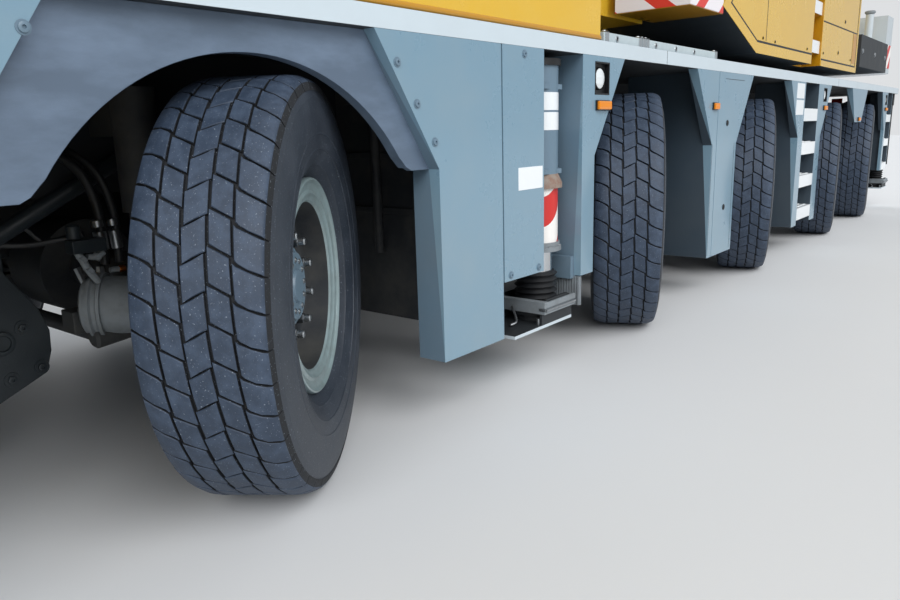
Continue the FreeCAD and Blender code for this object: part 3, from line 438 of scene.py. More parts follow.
PANEL = Enamel("Blue-grey panel enamel", "#7391A3", "#8898A0", 0.30)
# Darker blue-grey enamel: the real colour of beams, hubs and screws, and painted shade on the side panels' inner
# faces
DARK_PANEL_AND_SHADE = Enamel("Dark blue-grey enamel and painted recess shade", "#62798A", "#6B757B", 0.45, coat=0.2)
# Painted shade: near-black stands in for the shadow inside the wheel arches
ARCH_SHADE = Enamel("Painted wheel arch shade", "#323F4A", "#474F55", 0.5, coat=0.1)
STRIP = Enamel("Pale deck edge enamel", "#C3CFD6", "#A9B0B3", 0.38, soiling=0.2)
# The paler second colour, laid in soft patches and low down, is partly dust and partly painted sky reflection
YELLOW = Enamel("Crane yellow enamel", "#D8AC28", "#D6BE6A", 0.26, soiling=0.25, coat=0.7)
# Deeper yellow: painted shade in recesses and louvres and under lips and undersides
DEEP_YELLOW_AND_SHADE = Enamel("Deep yellow enamel and painted shade", "#B9820C", "#A98536", 0.32, soiling=0.3, coat=0.5)
LADDER = Enamel("Pale ladder coating", "#B6C3C7", "#98A1A3", 0.45, patch_mm=80.0, coat=0.1)
STEP = Enamel("Pale step coating", "#C6D3D9", "#A4ABAD", 0.42, patch_mm=90.0, soiling=0.4, coat=0.1)
BALLAST = Enamel("Ballast grey enamel", "#B9C2C7", "#9BA1A3", 0.4)
RIM_PAINT = Enamel("Rim green-grey enamel", "#86999C", "#6C7472", 0.34, patch_mm=60.0, soiling=0.5)
# Dark chassis paint; it is also laid as painted shade under and inside the deck, housings, cover and boom
FRAME_PAINT_AND_SHADE = Casting("Frame chassis paint and painted shade", "#23272B", "#3B3D3E", 0.6)
AXLE_PAINT = Casting("Axle casting paint", "#2A2D31", "#55544F", 0.62, patch_mm=150.0, soiling=0.6)
GREY_CASTING = Casting("Grey cast housing", "#7F868B", "#5A5C5C", 0.55, patch_mm=90.0, soiling=0.6)
STEEL_BLUE = Casting("Blue-black bracket paint", "#20272C", "#3C4347", 0.5, patch_mm=200.0)
RUSTY = Casting("Rusting collar casting", "#8B7F75", "#7A4A33", 0.7, patch_mm=35.0, soiling=0.8)
FENDER = MouldedRubber("Moulded arch rubber", "#566577", "#72849A", 0.5, patch_mm=160.0, soiling=0.7)
HOSE = MouldedRubber("Hose rubber", "#15171A", "#26292C", 0.5, patch_mm=50.0)
TREAD = TyreRubber("Worn tread rubber", "#2A3749", "#455469", 0.6, patch_mm=45.0, soiling=0.7)
# Painted shade in the tread's grooves: a darker copy of the tread rubber
GROOVE_SHADE = TyreRubber("Tread rubber with painted groove shade", "#14171C", "#23272D", 0.8, patch_mm=60.0)
SIDEWALL = TyreRubber("Tyre sidewall rubber", "#262D37", "#414852", 0.5, patch_mm=200.0, soiling=0.6,
                      pit_mm=14.0)
ZINC = Metal("Zinc-plated bolt steel", "#A9ADB0", "#7F8182", 0.38, patch_mm=20.0)
NUT_STEEL = Metal("Phosphated nut steel", "#5F6367", "#3E3B38", 0.5, patch_mm=15.0)
BRASS = Metal("Brass air fitting", "#B8652A", "#7E5130", 0.4, patch_mm=15.0)
CHROME = Metal("Hard chrome rod", "#C8CBCE", "#A5A8AB", 0.12, patch_mm=90.0)
GALVANISED = Metal("Galvanised tread plate", "#C9CED1", "#9FA4A6", 0.42, patch_mm=50.0)
BLACK = Moulding("Black ABS moulding", "#121315", "#1E2022", 0.45)
CUSHION = Moulding("Cushion cloth and foam", "#2A2C30", "#35383C", 0.85, patch_mm=30.0)
WHITE = Enamel("White plate enamel", "#E4E8EA", "#C9CDCF", 0.35, soiling=0.15)
AMBER = Lens("Amber lamp lens", "#E08414", "#C96E0C", 0.12)
RED = Lens("Red lamp lens", "#B3171B", "#8E1215", 0.12)
CLEAR = Lens("Clear lamp lens", "#D9DEE0", "#BEC3C6", 0.1)
GLASS = Lens("Tinted window glass", "#5F6E6B", "#57645F", 0.04, see_through=0.75, ribs_mm=0.0)
TAPE = WarningTape("Red and white warning tape", "#E9E6E2", "#C62B26", 0.35)
WIDE_TAPE = WarningTape("Wide red and white warning tape", "#E4DFE2", "#CF3A30", 0.35, bar_mm=190.0, tilt=1.3,
                        pale_share=0.66)


class Axis(Enum):
    """Direction that an outline is drawn across and its form runs along."""

    X = 0
    Y = 1
    Z = 2


class Form:
    """Mesh under construction, with one finish number for each face."""

    def __init__(self) -> None:
        """Start with nothing."""
        self.points: list[Vector] = []
        self.faces: list[list[int]] = []
        self.marks: list[int] = []

    def take(self, part: bmesh.types.BMesh, finish: int = 0, chamfer: float = 0.0) -> None:
        """Add a part, with its sharp edges chamfered, and free it.

        Args:
            part: Part to add.
            finish: Number of its finish.
            chamfer: Width of the chamfers in metres.
        """
        bmesh.ops.recalc_face_normals(part, faces=part.faces)
        if chamfer:
            sharp = [e for e in part.edges if len(e.link_faces) == 2 and e.calc_face_angle() > SHARP_ANGLE]
            bmesh.ops.bevel(part, geom=sharp, offset=chamfer, segments=2, profile=0.5, affect="EDGES",
                            clamp_overlap=True)
        part.verts.index_update()
        first = len(self.points)
        self.points += [v.co.copy() for v in part.verts]
        self.faces += [[first + v.index for v in f.verts] for f in part.faces]
        self.marks += [finish] * len(part.faces)
        part.free()

    def block(self, corner: Point, other: Point, finish: int = 0, chamfer: float = 0.0,
              turned: Matrix | None = None) -> None:
        """Add a block between two corners.

        Args:
            corner: One corner.
            other: Opposite corner, on either side of the first.
            finish: Number of its finish.
            chamfer: Width of the chamfers.
            turned: Turn about the block's own middle.
        """
        part = bmesh.new()
        size = Vector([abs(b - a) for a, b in zip(corner, other)])
        middle = (Vector(other) + Vector(corner)) / 2
        bmesh.ops.create_cube(part, size=1.0)
        bmesh.ops.transform(part, matrix=Matrix.Diagonal(size.to_4d()), verts=part.verts)
        place = Matrix.Translation(middle) @ (turned or Matrix.Identity(4))
        bmesh.ops.transform(part, matrix=place, verts=part.verts)
        self.take(part, finish, chamfer)

    def blocks(self, rows: tuple) -> None:
        """Add several blocks.

        Args:
            rows: What block() takes for each.
        """
        for row in rows:
            self.block(*row)

    def prism(self, outline: Outline, axis: Axis, start: float, end: float, finish: int = 0,
              chamfer: float = 0.0) -> None:
        """Add a closed outline drawn across an axis and run along it.

        Args:
            outline: Corners in the two other axes, in their order.
            axis: Axis that the form runs along.
            start: Where it starts on that axis.
            end: Where it ends.
            finish: Number of its finish.
            chamfer: Width of the chamfers.
        """
        part = bmesh.new()
        rings = []
        for where in (start, end):
            ring = []
            for a, b in outline:
                spot = [a, b]
                spot.insert(axis.value, where)
                ring.append(part.verts.new(spot))
            rings.append(ring)
        part.faces.new(rings[0])
        part.faces.new(rings[1])
        join_rings(part, rings[0], rings[1])
        self.take(part, finish, chamfer)

    def lathe(self, profile: Outline, centre: Point, direction: Point, sides: int = 32,
              finish: int = 0) -> None:
        """Add a profile turned about a line.

        Args:
            profile: Distance along the line and radius of each station.
            centre: Point where the distance is 0.
            direction: Direction of the line.
            sides: Steps round it.
            finish: Number of its finish.
        """
        part = bmesh.new()
        turned = Vector(UP).rotation_difference(Vector(direction).normalized()).to_matrix().to_4x4()
        place = Matrix.Translation(Vector(centre)) @ turned
        angles = [2 * math.pi * i / sides for i in range(sides)]
        rings = []
        for along, radius in profile:
            if radius < 1e-6:
                rings.append([part.verts.new(place @ Vector((0, 0, along)))])
            else:
                rings.append([part.verts.new(place @ Vector((radius * math.cos(a), radius * math.sin(a), along)))
                              for a in angles])
        for near, far in zip(rings, rings[1:]):
            join_rings(part, near, far)
        self.take(part, finish)

    def rod(self, start: Point, end: Point, radius: float, sides: int = 20, finish: int = 0,
            chamfer: float = 0.0) -> None:
        """Add a round bar between two points, closed at both ends.

        Args:
            start: Middle of one end.
            end: Middle of the other end.
            radius: Radius of the bar.
            sides: Steps round it.
            finish: Number of its finish.
            chamfer: Width of the chamfers at its ends.
        """
        run = Vector(end) - Vector(start)
        length = run.length
        cut = min(chamfer, radius / 2, length / 2)
        profile = [(0.0, 0.0), (0.0, radius - cut)]
        if cut:
            profile += [(cut, radius), (length - cut, radius)]
        profile += [(length, radius - cut), (length, 0.0)]
        self.lathe(profile, start, tuple(run), sides, finish)

    def pipe(self, points: list[Point], radius: float, sides: int = 10, finish: int = 0, steps: int = 6) -> None:
        """Add a round hose or tube through points on a smooth line.

        Args:
            points: Points that the line goes through.
            radius: Outside radius.
            sides: Steps round it.
            finish: Number of its finish.
            steps: Steps between two points; 1 keeps the corners.
        """
        spots = [Vector(p) for p in points]
        ends = [2 * spots[0] - spots[1]] + spots + [2 * spots[-1] - spots[-2]]
        line = []
        for i in range(1, len(ends) - 2):
            a, b, c, d = ends[i - 1:i + 3]
            for step in range(steps):
                t = step / steps
                line.append(0.5 * (2 * b + (c - a) * t + (2 * a - 5 * b + 4 * c - d) * t * t
                                   + (3 * b - a - 3 * c + d) * t ** 3))
        line.append(spots[-1])
        part = bmesh.new()
        rings = []
        angles = [2 * math.pi * k / sides for k in range(sides)]
        side = (line[1] - line[0]).orthogonal().normalized()
        for i, spot in enumerate(line):
            ahead = (line[min(i + 1, len(line) - 1)] - line[max(i - 1, 0)]).normalized()
            side = (side - ahead * side.dot(ahead)).normalized()
            over = ahead.cross(side)
            rings.append([part.verts.new(spot + radius * (side * math.cos(a) + over * math.sin(a)))
                          for a in angles])
        for near, far in zip(rings, rings[1:]):
            join_rings(part, near, far)
        part.faces.new(rings[0])
        part.faces.new(rings[-1])
        self.take(part, finish)

    def bolt(self, centre: Point, direction: Point, size: float = 0.012, finish: int = 0) -> None:
        """Add a domed screw head with a socket, or a hexagon for sizes over 14 mm.

        Args:
            centre: Middle of the face that it sits on.
            direction: Way the head points.
            size: Radius of the head.
            finish: Number of its finish.
        """
        tall = size * 0.6
        self.lathe([(0, 0), (0, size * 1.35), (tall * 0.25, size * 1.35), (tall * 0.25, size)],
                   centre, direction, 16, finish)
        sides = 16 if size <= 0.014 else 6
        self.lathe([(tall * 0.25, size), (tall * 0.85, size * 0.94), (tall, size * 0.7), (tall, size * 0.4),
                    (tall * 0.4, size * 0.36), (tall * 0.4, 0)], centre, direction, sides, finish)

    def latch(self, centre: Point, outer: float, inner: float, finish: int = 0) -> None:
        """Add a round flush latch on the left side: a raised ring round a sunk disc.

        Args:
            centre: Middle of the face that it sits on.
            outer: Outside radius of the ring.
            inner: Inside radius of the ring.
            finish: Number of its finish.
        """
        self.lathe([(0, outer), (0.004, outer - 0.001), (0.004, inner), (0.001, inner - 0.001), (0.001, 0.0)],
                   centre, LEFT, 24, finish)

    def stud(self, centre: Point, radius: float) -> None:
        """Raise a hollow stud on a tread.

        Args:
            centre: Middle of the stud on the tread's face.
            radius: Outside radius.
        """
        self.lathe([(0, radius), (0.004, radius - 0.002), (0.004, radius - 0.006), (0.001, radius - 0.007)],
                   centre, UP, 10, 0)

    def mirrored(self) -> "Form":
        """Make the mirror image on the crane's other side.

        Returns:
            A new form.
        """
        other = Form()
        other.points = [Vector((p.x, -p.y, p.z)) for p in self.points]
        other.faces = [list(reversed(face)) for face in self.faces]
        other.marks = list(self.marks)
        return other

    def both(self) -> None:
        """Add the mirror image on the crane's other side."""
        other = self.mirrored()
        first = len(self.points)
        self.points += other.points
        self.faces += [[first + i for i in face] for face in other.faces]
        self.marks += other.marks

    def mesh(self, name: str, finishes: list[Finish], smooth: float = 40.0) -> bpy.types.Mesh:
        """Make Blender's mesh of the form.

        Args:
            name: Name of the mesh.
            finishes: The finishes, in the order of their numbers.
            smooth: Edges sharper than this many degrees stay crisp.

        Returns:
            The mesh.
        """
        mesh = bpy.data.meshes.new(name)
        mesh.from_pydata(self.points, [], self.faces)
        for finish in finishes:
            mesh.materials.append(finish.material())
        mesh.polygons.foreach_set("material_index", self.marks)
        mesh.polygons.foreach_set("use_smooth", [True] * len(self.faces))
        mesh.update()
        mesh.set_sharp_from_angle(angle=math.radians(smooth))
        return mesh

    def piece(self, name: str, body: str, slot: str, finishes: list[Finish]) -> None:
        """Make a piece of the crane of the form.

        Args:
            name: Name of the piece.
            body: CAD body that it rides on.
            slot: Not used.
            finishes: The finishes, in the order of their numbers.
        """
        settle(name, self.mesh(name, finishes), body, Matrix.Identity(4))


def join_rings(part: bmesh.types.BMesh, near: list, far: list) -> None:
    """Close the gap between two rings of corners, either of which may be a single point.

    Args:
        part: Part that the rings are in.
        near: First ring.
        far: Second ring.
    """
    count = max(len(near), len(far))
    for i in range(count):
        j = (i + 1) % count
        if len(near) == 1:
            part.faces.new((near[0], far[i], far[j]))
        elif len(far) == 1:
            part.faces.new((near[i], far[0], near[j]))
        else:
            part.faces.new((near[i], far[i], far[j], near[j]))


def settle(name: str, mesh: bpy.types.Mesh, body: str, place: Matrix,
           replaces: tuple[str, ...] = ()) -> None:
    """Put a mesh in the scene as a piece that rides on a body.

    Args:
        name: Name of the piece.
        mesh: Its mesh.
        body: CAD body that it rides on.
        place: Where it stands.
        replaces: CAD nodes that it stands for.
    """
    piece = bpy.data.objects.new(name, mesh)
    bpy.context.scene.collection.objects.link(piece)
    piece.matrix_world = place
    weighted = piece.modifiers.new("Weighted normals", "WEIGHTED_NORMAL")
    weighted.keep_sharp = True
    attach(piece, body)
    if replaces:
        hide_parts(*replaces)
    LOG.info("%s rides on %s: %d faces", name, body, len(mesh.polygons))


@dataclass
class Studio:
    """Pale floor, soft lamps and the camera where the photographer stood."""

    eye: Point = (4.942, 3.115, 1.162)
    yaw: float = 39.2948
    pitch: float = -12.9087
    roll: float = -1.6396
    lens_mm: float = 29.31
    sensor_mm: float = 36.0
    nearest: float = 0.05
    farthest: float = 400.0
    floor_half: float = 60.0
    floor_thick: float = 0.05
    # Name, direction that it stands in, its width as seen from the crane in degrees, and strength
    lamps: tuple = (("Flank lamp", (2.0, 13.0, 10.0), 46.0, 2.05),
                    ("Front lamp", (11.0, 5.5, 8.0), 34.0, 1.22),
                    ("Far lamp", (-10.0, -10.0, 11.0), 37.0, 0.85))

    def build(self) -> None:
        """Make the camera, the floor, the world and the lamps."""
        self.aim_camera()
        self.lay_floor()
        self.light_world()
        for name, towards, spread, strength in self.lamps:
            self.hang_lamp(name, towards, spread, strength)
        bpy.context.scene.view_settings.view_transform = "Standard"
        LOG.info("studio ready")

    def aim_camera(self) -> None:
        """Stand the camera at the photograph's place and angle."""
        data = bpy.data.cameras.new("Camera")
        data.lens = self.lens_mm
        data.sensor_width = self.sensor_mm
        data.clip_start = self.nearest
        data.clip_end = self.farthest
        camera = bpy.data.objects.new("Camera", data)
        bpy.context.scene.collection.objects.link(camera)
        yaw, pitch, roll = (math.radians(a) for a in (self.yaw, self.pitch, self.roll))
        look = Vector((-math.cos(pitch) * math.cos(yaw), -math.cos(pitch) * math.sin(yaw), math.sin(pitch)))
        right = look.cross(Vector(UP)).normalized()
        up = right.cross(look)
        rolled = math.cos(roll) * right + math.sin(roll) * up
        upright = -math.sin(roll) * right + math.cos(roll) * up
        turn = Matrix((rolled, upright, -look)).transposed().to_4x4()
        camera.matrix_world = Matrix.Translation(Vector(self.eye)) @ turn
        bpy.context.scene.camera = camera

    def lay_floor(self) -> None:
        """Lay the pale floor, far wider than the view."""
        floor = Form()
        half = self.floor_half
        floor.block((-half, -half, -self.floor_thick), (half, half, 0.0))
        paint = Finish("Pale studio floor", "#D9DADB", "#D2D4D6", 0.7, patch_mm=3000.0)
        piece = bpy.data.objects.new("Studio_floor", floor.mesh("Studio_floor", [paint]))
        bpy.context.scene.collection.objects.link(piece)

    def light_world(self) -> None:
        """Give an even, pale sky that also stands behind the crane."""
        world = bpy.data.worlds.new("Soft sky")
        bpy.context.scene.world = world
        world.use_nodes = True
        tree = world.node_tree
        sky = tree.nodes["Background"]
        sky.inputs["Color"].default_value = linear("#E6ECF2")
        sky.inputs["Strength"].default_value = 0.53
        seen = add(tree, "ShaderNodeBackground", {"Color": linear("#E3E5E7"), "Strength": 0.95})
        path = add(tree, "ShaderNodeLightPath").outputs
        direct = add(tree, "ShaderNodeMath",
                     {"operation": "MAXIMUM", 0: path["Is Camera Ray"], 1: path["Is Transmission Ray"]})
        mix = add(tree, "ShaderNodeMixShader", {0: direct.outputs[0], 1: sky.outputs[0], 2: seen.outputs[0]})
        tree.links.new(mix.outputs[0], tree.nodes["World Output"].inputs["Surface"])

    def hang_lamp(self, name: str, towards: Point, spread: float, strength: float) -> None:
        """Hang a broad, soft lamp, far enough off to be even all over the floor.

        Args:
            name: Name of the lamp.
            towards: Direction that it stands in.
            spread: Its width as seen from the crane, in degrees.
            strength: Its light in watts to the square metre.
        """
        data = bpy.data.lights.new(name, "SUN")
        data.angle = math.radians(spread)
        data.energy = strength
        lamp = bpy.data.objects.new(name, data)
        bpy.context.scene.collection.objects.link(lamp)
        lamp.rotation_euler = (-Vector(towards)).to_track_quat("-Z", "Y").to_euler()


@dataclass
class Tyre:
    """All-terrain tyre: five ribs of slanted blocks on a ringed carcass."""

    radius: float = 0.675
    shoulder: float = 0.172
    depth: float = 0.012
    pitches: int = 44
    chamfer: float = 0.0022
    cross_groove: float = 0.0058
    edge_step: float = 0.0028
    # The tread is flat out to here, and this much lower at the shoulder
    flat_half: float = 0.115
    crown_drop: float = 0.019
    # Rib edges across the tread, the rise of its cross grooves, and its stagger in pitches
    ribs: tuple = ((-0.029, 0.029, 0.030, 0.0), (0.037, 0.093, -0.031, 0.5), (0.101, 0.172, -0.038, 0.05))

    def crown(self, y: float) -> float:
        """Radius of the tread's face at a place across it."""
        past = max(abs(y) - self.flat_half, 0.0) / (self.shoulder - self.flat_half)
        return self.radius - self.crown_drop * past ** 2

    def block(self, form: Form, rib: tuple, number: int, flip: bool) -> None:
        """Add one tread block.

        Args:
            form: Form that gets it.
            rib: Row of the ribs table.
            number: Place of the block round the tyre.
            flip: Whether it belongs to the same rib on the inner half.
        """
        low, high, rise, stagger = rib
        pitch = 2 * math.pi / self.pitches
        gap = self.cross_groove / self.radius
        outer = high >= self.shoulder
        across = (0.0, 0.12, 0.5, 0.88, 1.0) if outer else (0.0, 0.5, 1.0)
        along = (0.0, 0.33, 0.67, 1.0)

        def spot(u: float, v: float, lift: float, inset: float) -> Vector:
            """Point of the block.

            Args:
                u: Place round the tyre, from 0 to 1.
                v: Place across it, from 0 to 1.
                lift: Depth under the tread's face.
                inset: Distance inside the block's outline.

            Returns:
                The point.
            """
            tuck = inset if v < 0.5 else -inset
            y = low + (high - low) * v + (tuck if v in (0.0, 1.0) else 0.0)
            if v != 0.5 and not (outer and v == 1.0):
                y += self.edge_step * (1 - 2 * u)
            bend = rise * (v ** 0.72 if outer else v) / self.radius
            ends = inset / self.radius
            turn = (number + stagger) * pitch + bend
            turn += gap / 2 + ends + u * (pitch - gap - 2 * ends)
            radius = self.crown(min(y, self.shoulder)) - lift
            if outer and v == 1.0 and lift > 0.005:
                radius, y = self.radius - 0.048, self.shoulder + 0.007
            elif outer and v == 1.0:
                radius -= 0.002
            if flip:
                y, turn = -y, -turn
            return Vector((radius * math.cos(turn), y, radius * math.sin(turn)))

        part = bmesh.new()
        top = [[part.verts.new(spot(u, v, 0.0, self.chamfer)) for v in across] for u in along]
        for a in range(len(along) - 1):
            for b in range(len(across) - 1):
                part.faces.new((top[a][b], top[a + 1][b], top[a + 1][b + 1], top[a][b + 1]))
        edge = [(u, 0.0) for u in along] + [(1.0, v) for v in across[1:]]
        edge += [(u, 1.0) for u in reversed(along[:-1])] + [(0.0, v) for v in reversed(across[1:-1])]
        crest = [top[along.index(u)][across.index(v)] for u, v in edge]
        brow = [part.verts.new(spot(u, v, self.chamfer, 0.0)) for u, v in edge]
        foot = [part.verts.new(spot(u, v, self.depth + 0.002, -0.0008)) for u, v in edge]
        count = len(edge)
        walls = []
        for i in range(count):
            j = (i + 1) % count
            part.faces.new((crest[i], crest[j], brow[j], brow[i]))
            walls.append(part.faces.new((brow[i], brow[j], foot[j], foot[i])))
        first = len(form.faces)
        part.faces.index_update()
        # The blocks' side walls take the darker groove rubber: painted shade in the grooves
        groove_shade_faces = [face.index for face in walls]
        form.take(part, 0)
        for index in groove_shade_faces:
            form.marks[first + index] = 1

    def carcass(self, form: Form) -> None:
        """Add the groove floor, the sidewalls with their rings and the beads.

        Args:
            form: Form that gets them.
        """
        floor = self.radius - self.depth
        half = [(0.0, floor), (0.06, floor), (0.115, floor - 0.001), (0.150, floor - 0.008),
                (0.168, floor - 0.022), (0.176, self.radius - 0.046)]
        wall = [(0.1785, 0.624), (0.1835, 0.606), (0.1845, 0.604), (0.1845, 0.600), (0.1850, 0.598),
                (0.1890, 0.570), (0.1912, 0.545), (0.1918, 0.520), (0.1908, 0.497), (0.1918, 0.4955),
                (0.1915, 0.4920), (0.1900, 0.4905), (0.1868, 0.462), (0.1850, 0.4500), (0.1862, 0.4485),
                (0.1855, 0.4450), (0.1830, 0.4435), (0.1745, 0.420), (0.1640, 0.402), (0.1630, 0.3975),
                (0.1560, 0.3925), (0.1420, 0.3760), (0.1300, 0.3640), (0.1240, 0.3560)]
        inner = [(0.1220, 0.330), (0.0, 0.330)]
        sides = self.pitches * 3
        for sign in (1, -1):
            # The groove floor takes the darker groove rubber: painted shade between the blocks
            for stations, finish in ((half, 1), ([half[-1]] + wall + inner, 2)):
                form.lathe([(sign * y, r) for y, r in stations], (0, 0, 0), LEFT, sides, finish)

    def build(self) -> None:
        """Make the left and the right tyre and put ten of them on."""
        form = Form()
        self.carcass(form)
        for rib in self.ribs:
            for number in range(self.pitches):
                self.block(form, rib, number, False)
                if rib[0] > 0:
                    self.block(form, rib, number, True)
        mount_wheels("Tyre", form, [TREAD, GROOVE_SHADE, SIDEWALL], "tyre")


@dataclass
class Rim:
    """Steel rim with its lock ring, deep disc, ten long nuts and the planetary hub."""

    nut_circle: float = 0.1675
    nuts: int = 10
    screw_circle: float = 0.0880
    screws: int = 12
    # Distance outboard of the wheel's middle and radius of each station
    outer: tuple = ((0.118, 0.352), (0.128, 0.3575), (0.140, 0.3580), (0.147, 0.3545), (0.1485, 0.3490),
                    (0.1455, 0.3445), (0.139, 0.3400), (0.1365, 0.3330), (0.1350, 0.3170), (0.1385, 0.3120),
                    (0.1390, 0.3060), (0.1340, 0.3015), (0.1300, 0.2920), (0.1290, 0.2840), (0.1220, 0.2780))
    disc: tuple = ((0.1220, 0.2780), (0.1000, 0.2765), (0.0450, 0.2740), (0.0300, 0.2700), (0.0210, 0.2550),
                   (0.0200, 0.2400), (0.0260, 0.2150), (0.0300, 0.2000), (0.0300, 0.1400))
    hub: tuple = ((0.0300, 0.1400), (0.0560, 0.1380), (0.0620, 0.1320), (0.0640, 0.1180), (0.0780, 0.1120),
                  (0.0800, 0.1050), (0.0780, 0.0560), (0.0860, 0.0520), (0.0880, 0.0400), (0.0880, 0.0))
    inner: tuple = ((-0.118, 0.352), (-0.128, 0.3575), (-0.140, 0.3580), (-0.147, 0.3545), (-0.1455, 0.3445),
                    (-0.1350, 0.3200), (-0.1280, 0.3000), (-0.0900, 0.2960), (0.0000, 0.2950), (0.0100, 0.2700),
                    (0.0100, 0.1400), (-0.0740, 0.1400), (-0.0740, 0.0760))
    nut: tuple = ((0.030, 0.0245), (0.037, 0.0245), (0.037, 0.0195), (0.066, 0.0190), (0.069, 0.0160),
                  (0.069, 0.012))
    stud: tuple = ((0.069, 0.0135), (0.088, 0.0135), (0.092, 0.010), (0.092, 0.0))

    def build(self) -> None:
        """Make the left and the right rim and put ten of them on."""
        form = Form()
        for stations, sides, finish in ((self.outer, 96, 0), (self.disc, 96, 1), (self.hub, 48, 2),
                                        (self.inner, 64, 1)):
            form.lathe(stations, (0, 0, 0), LEFT, sides, finish)
        for i in range(self.nuts):
            angle = 2 * math.pi * (i + 0.5) / self.nuts
            spot = (self.nut_circle * math.cos(angle), 0, self.nut_circle * math.sin(angle))
            form.lathe(self.nut, spot, LEFT, 6, 3)
            form.lathe(self.stud, spot, LEFT, 12, 4)
        for i in range(self.screws):
            angle = 2 * math.pi * i / self.screws
            spot = (self.screw_circle * math.cos(angle), 0.0785, self.screw_circle * math.sin(angle))
            form.bolt(spot, LEFT, 0.008, 4)
        finishes = [RIM_PAINT, AXLE_PAINT, DARK_PANEL_AND_SHADE, NUT_STEEL, ZINC]
        mount_wheels("Rim", form, finishes, "rim")


def wheel_place(axle: int, side: int) -> Matrix:
    """Where a wheel's own frame stands at rest.

    Args:
        axle: Number of the axle, from 0.
        side: 1 for left and -1 for right.

    Returns:
        The wheel's place, with its outer face along +Y on the left and -Y on the right.
    """
    kingpin = Matrix.Translation((back(AXLES[axle]), side * KINGPIN_Y, AXLE_HEIGHT))
    turned = Matrix.Rotation(math.radians(STEERING[axle]), 4, "Z")
    return kingpin @ turned @ Matrix.Translation((0, side * KINGPIN_TO_TYRE, 0))


def mount_wheels(name: str, form: Form, finishes: list[Finish], node: str) -> None:
    """Put a left form and its mirror image on all ten wheels.

    Args:
        name: Name that the pieces start with.
        form: The left form about its own axis.
        finishes: Finishes of the form.
        node: Start of the names of the CAD nodes that the pieces replace.
    """
    crisp = 35.0
    meshes = {1: form.mesh(name + "_left", finishes, crisp),
              -1: form.mirrored().mesh(name + "_right", finishes, crisp)}
    for axle in range(len(AXLES)):
        for side, word in SIDES:
            tail = "%d_%s" % (axle + 1, word)
            settle("%s_%s" % (name, tail), meshes[side], "wheel_" + tail, wheel_place(axle, side),
                   ("%s_%s" % (node, tail),))


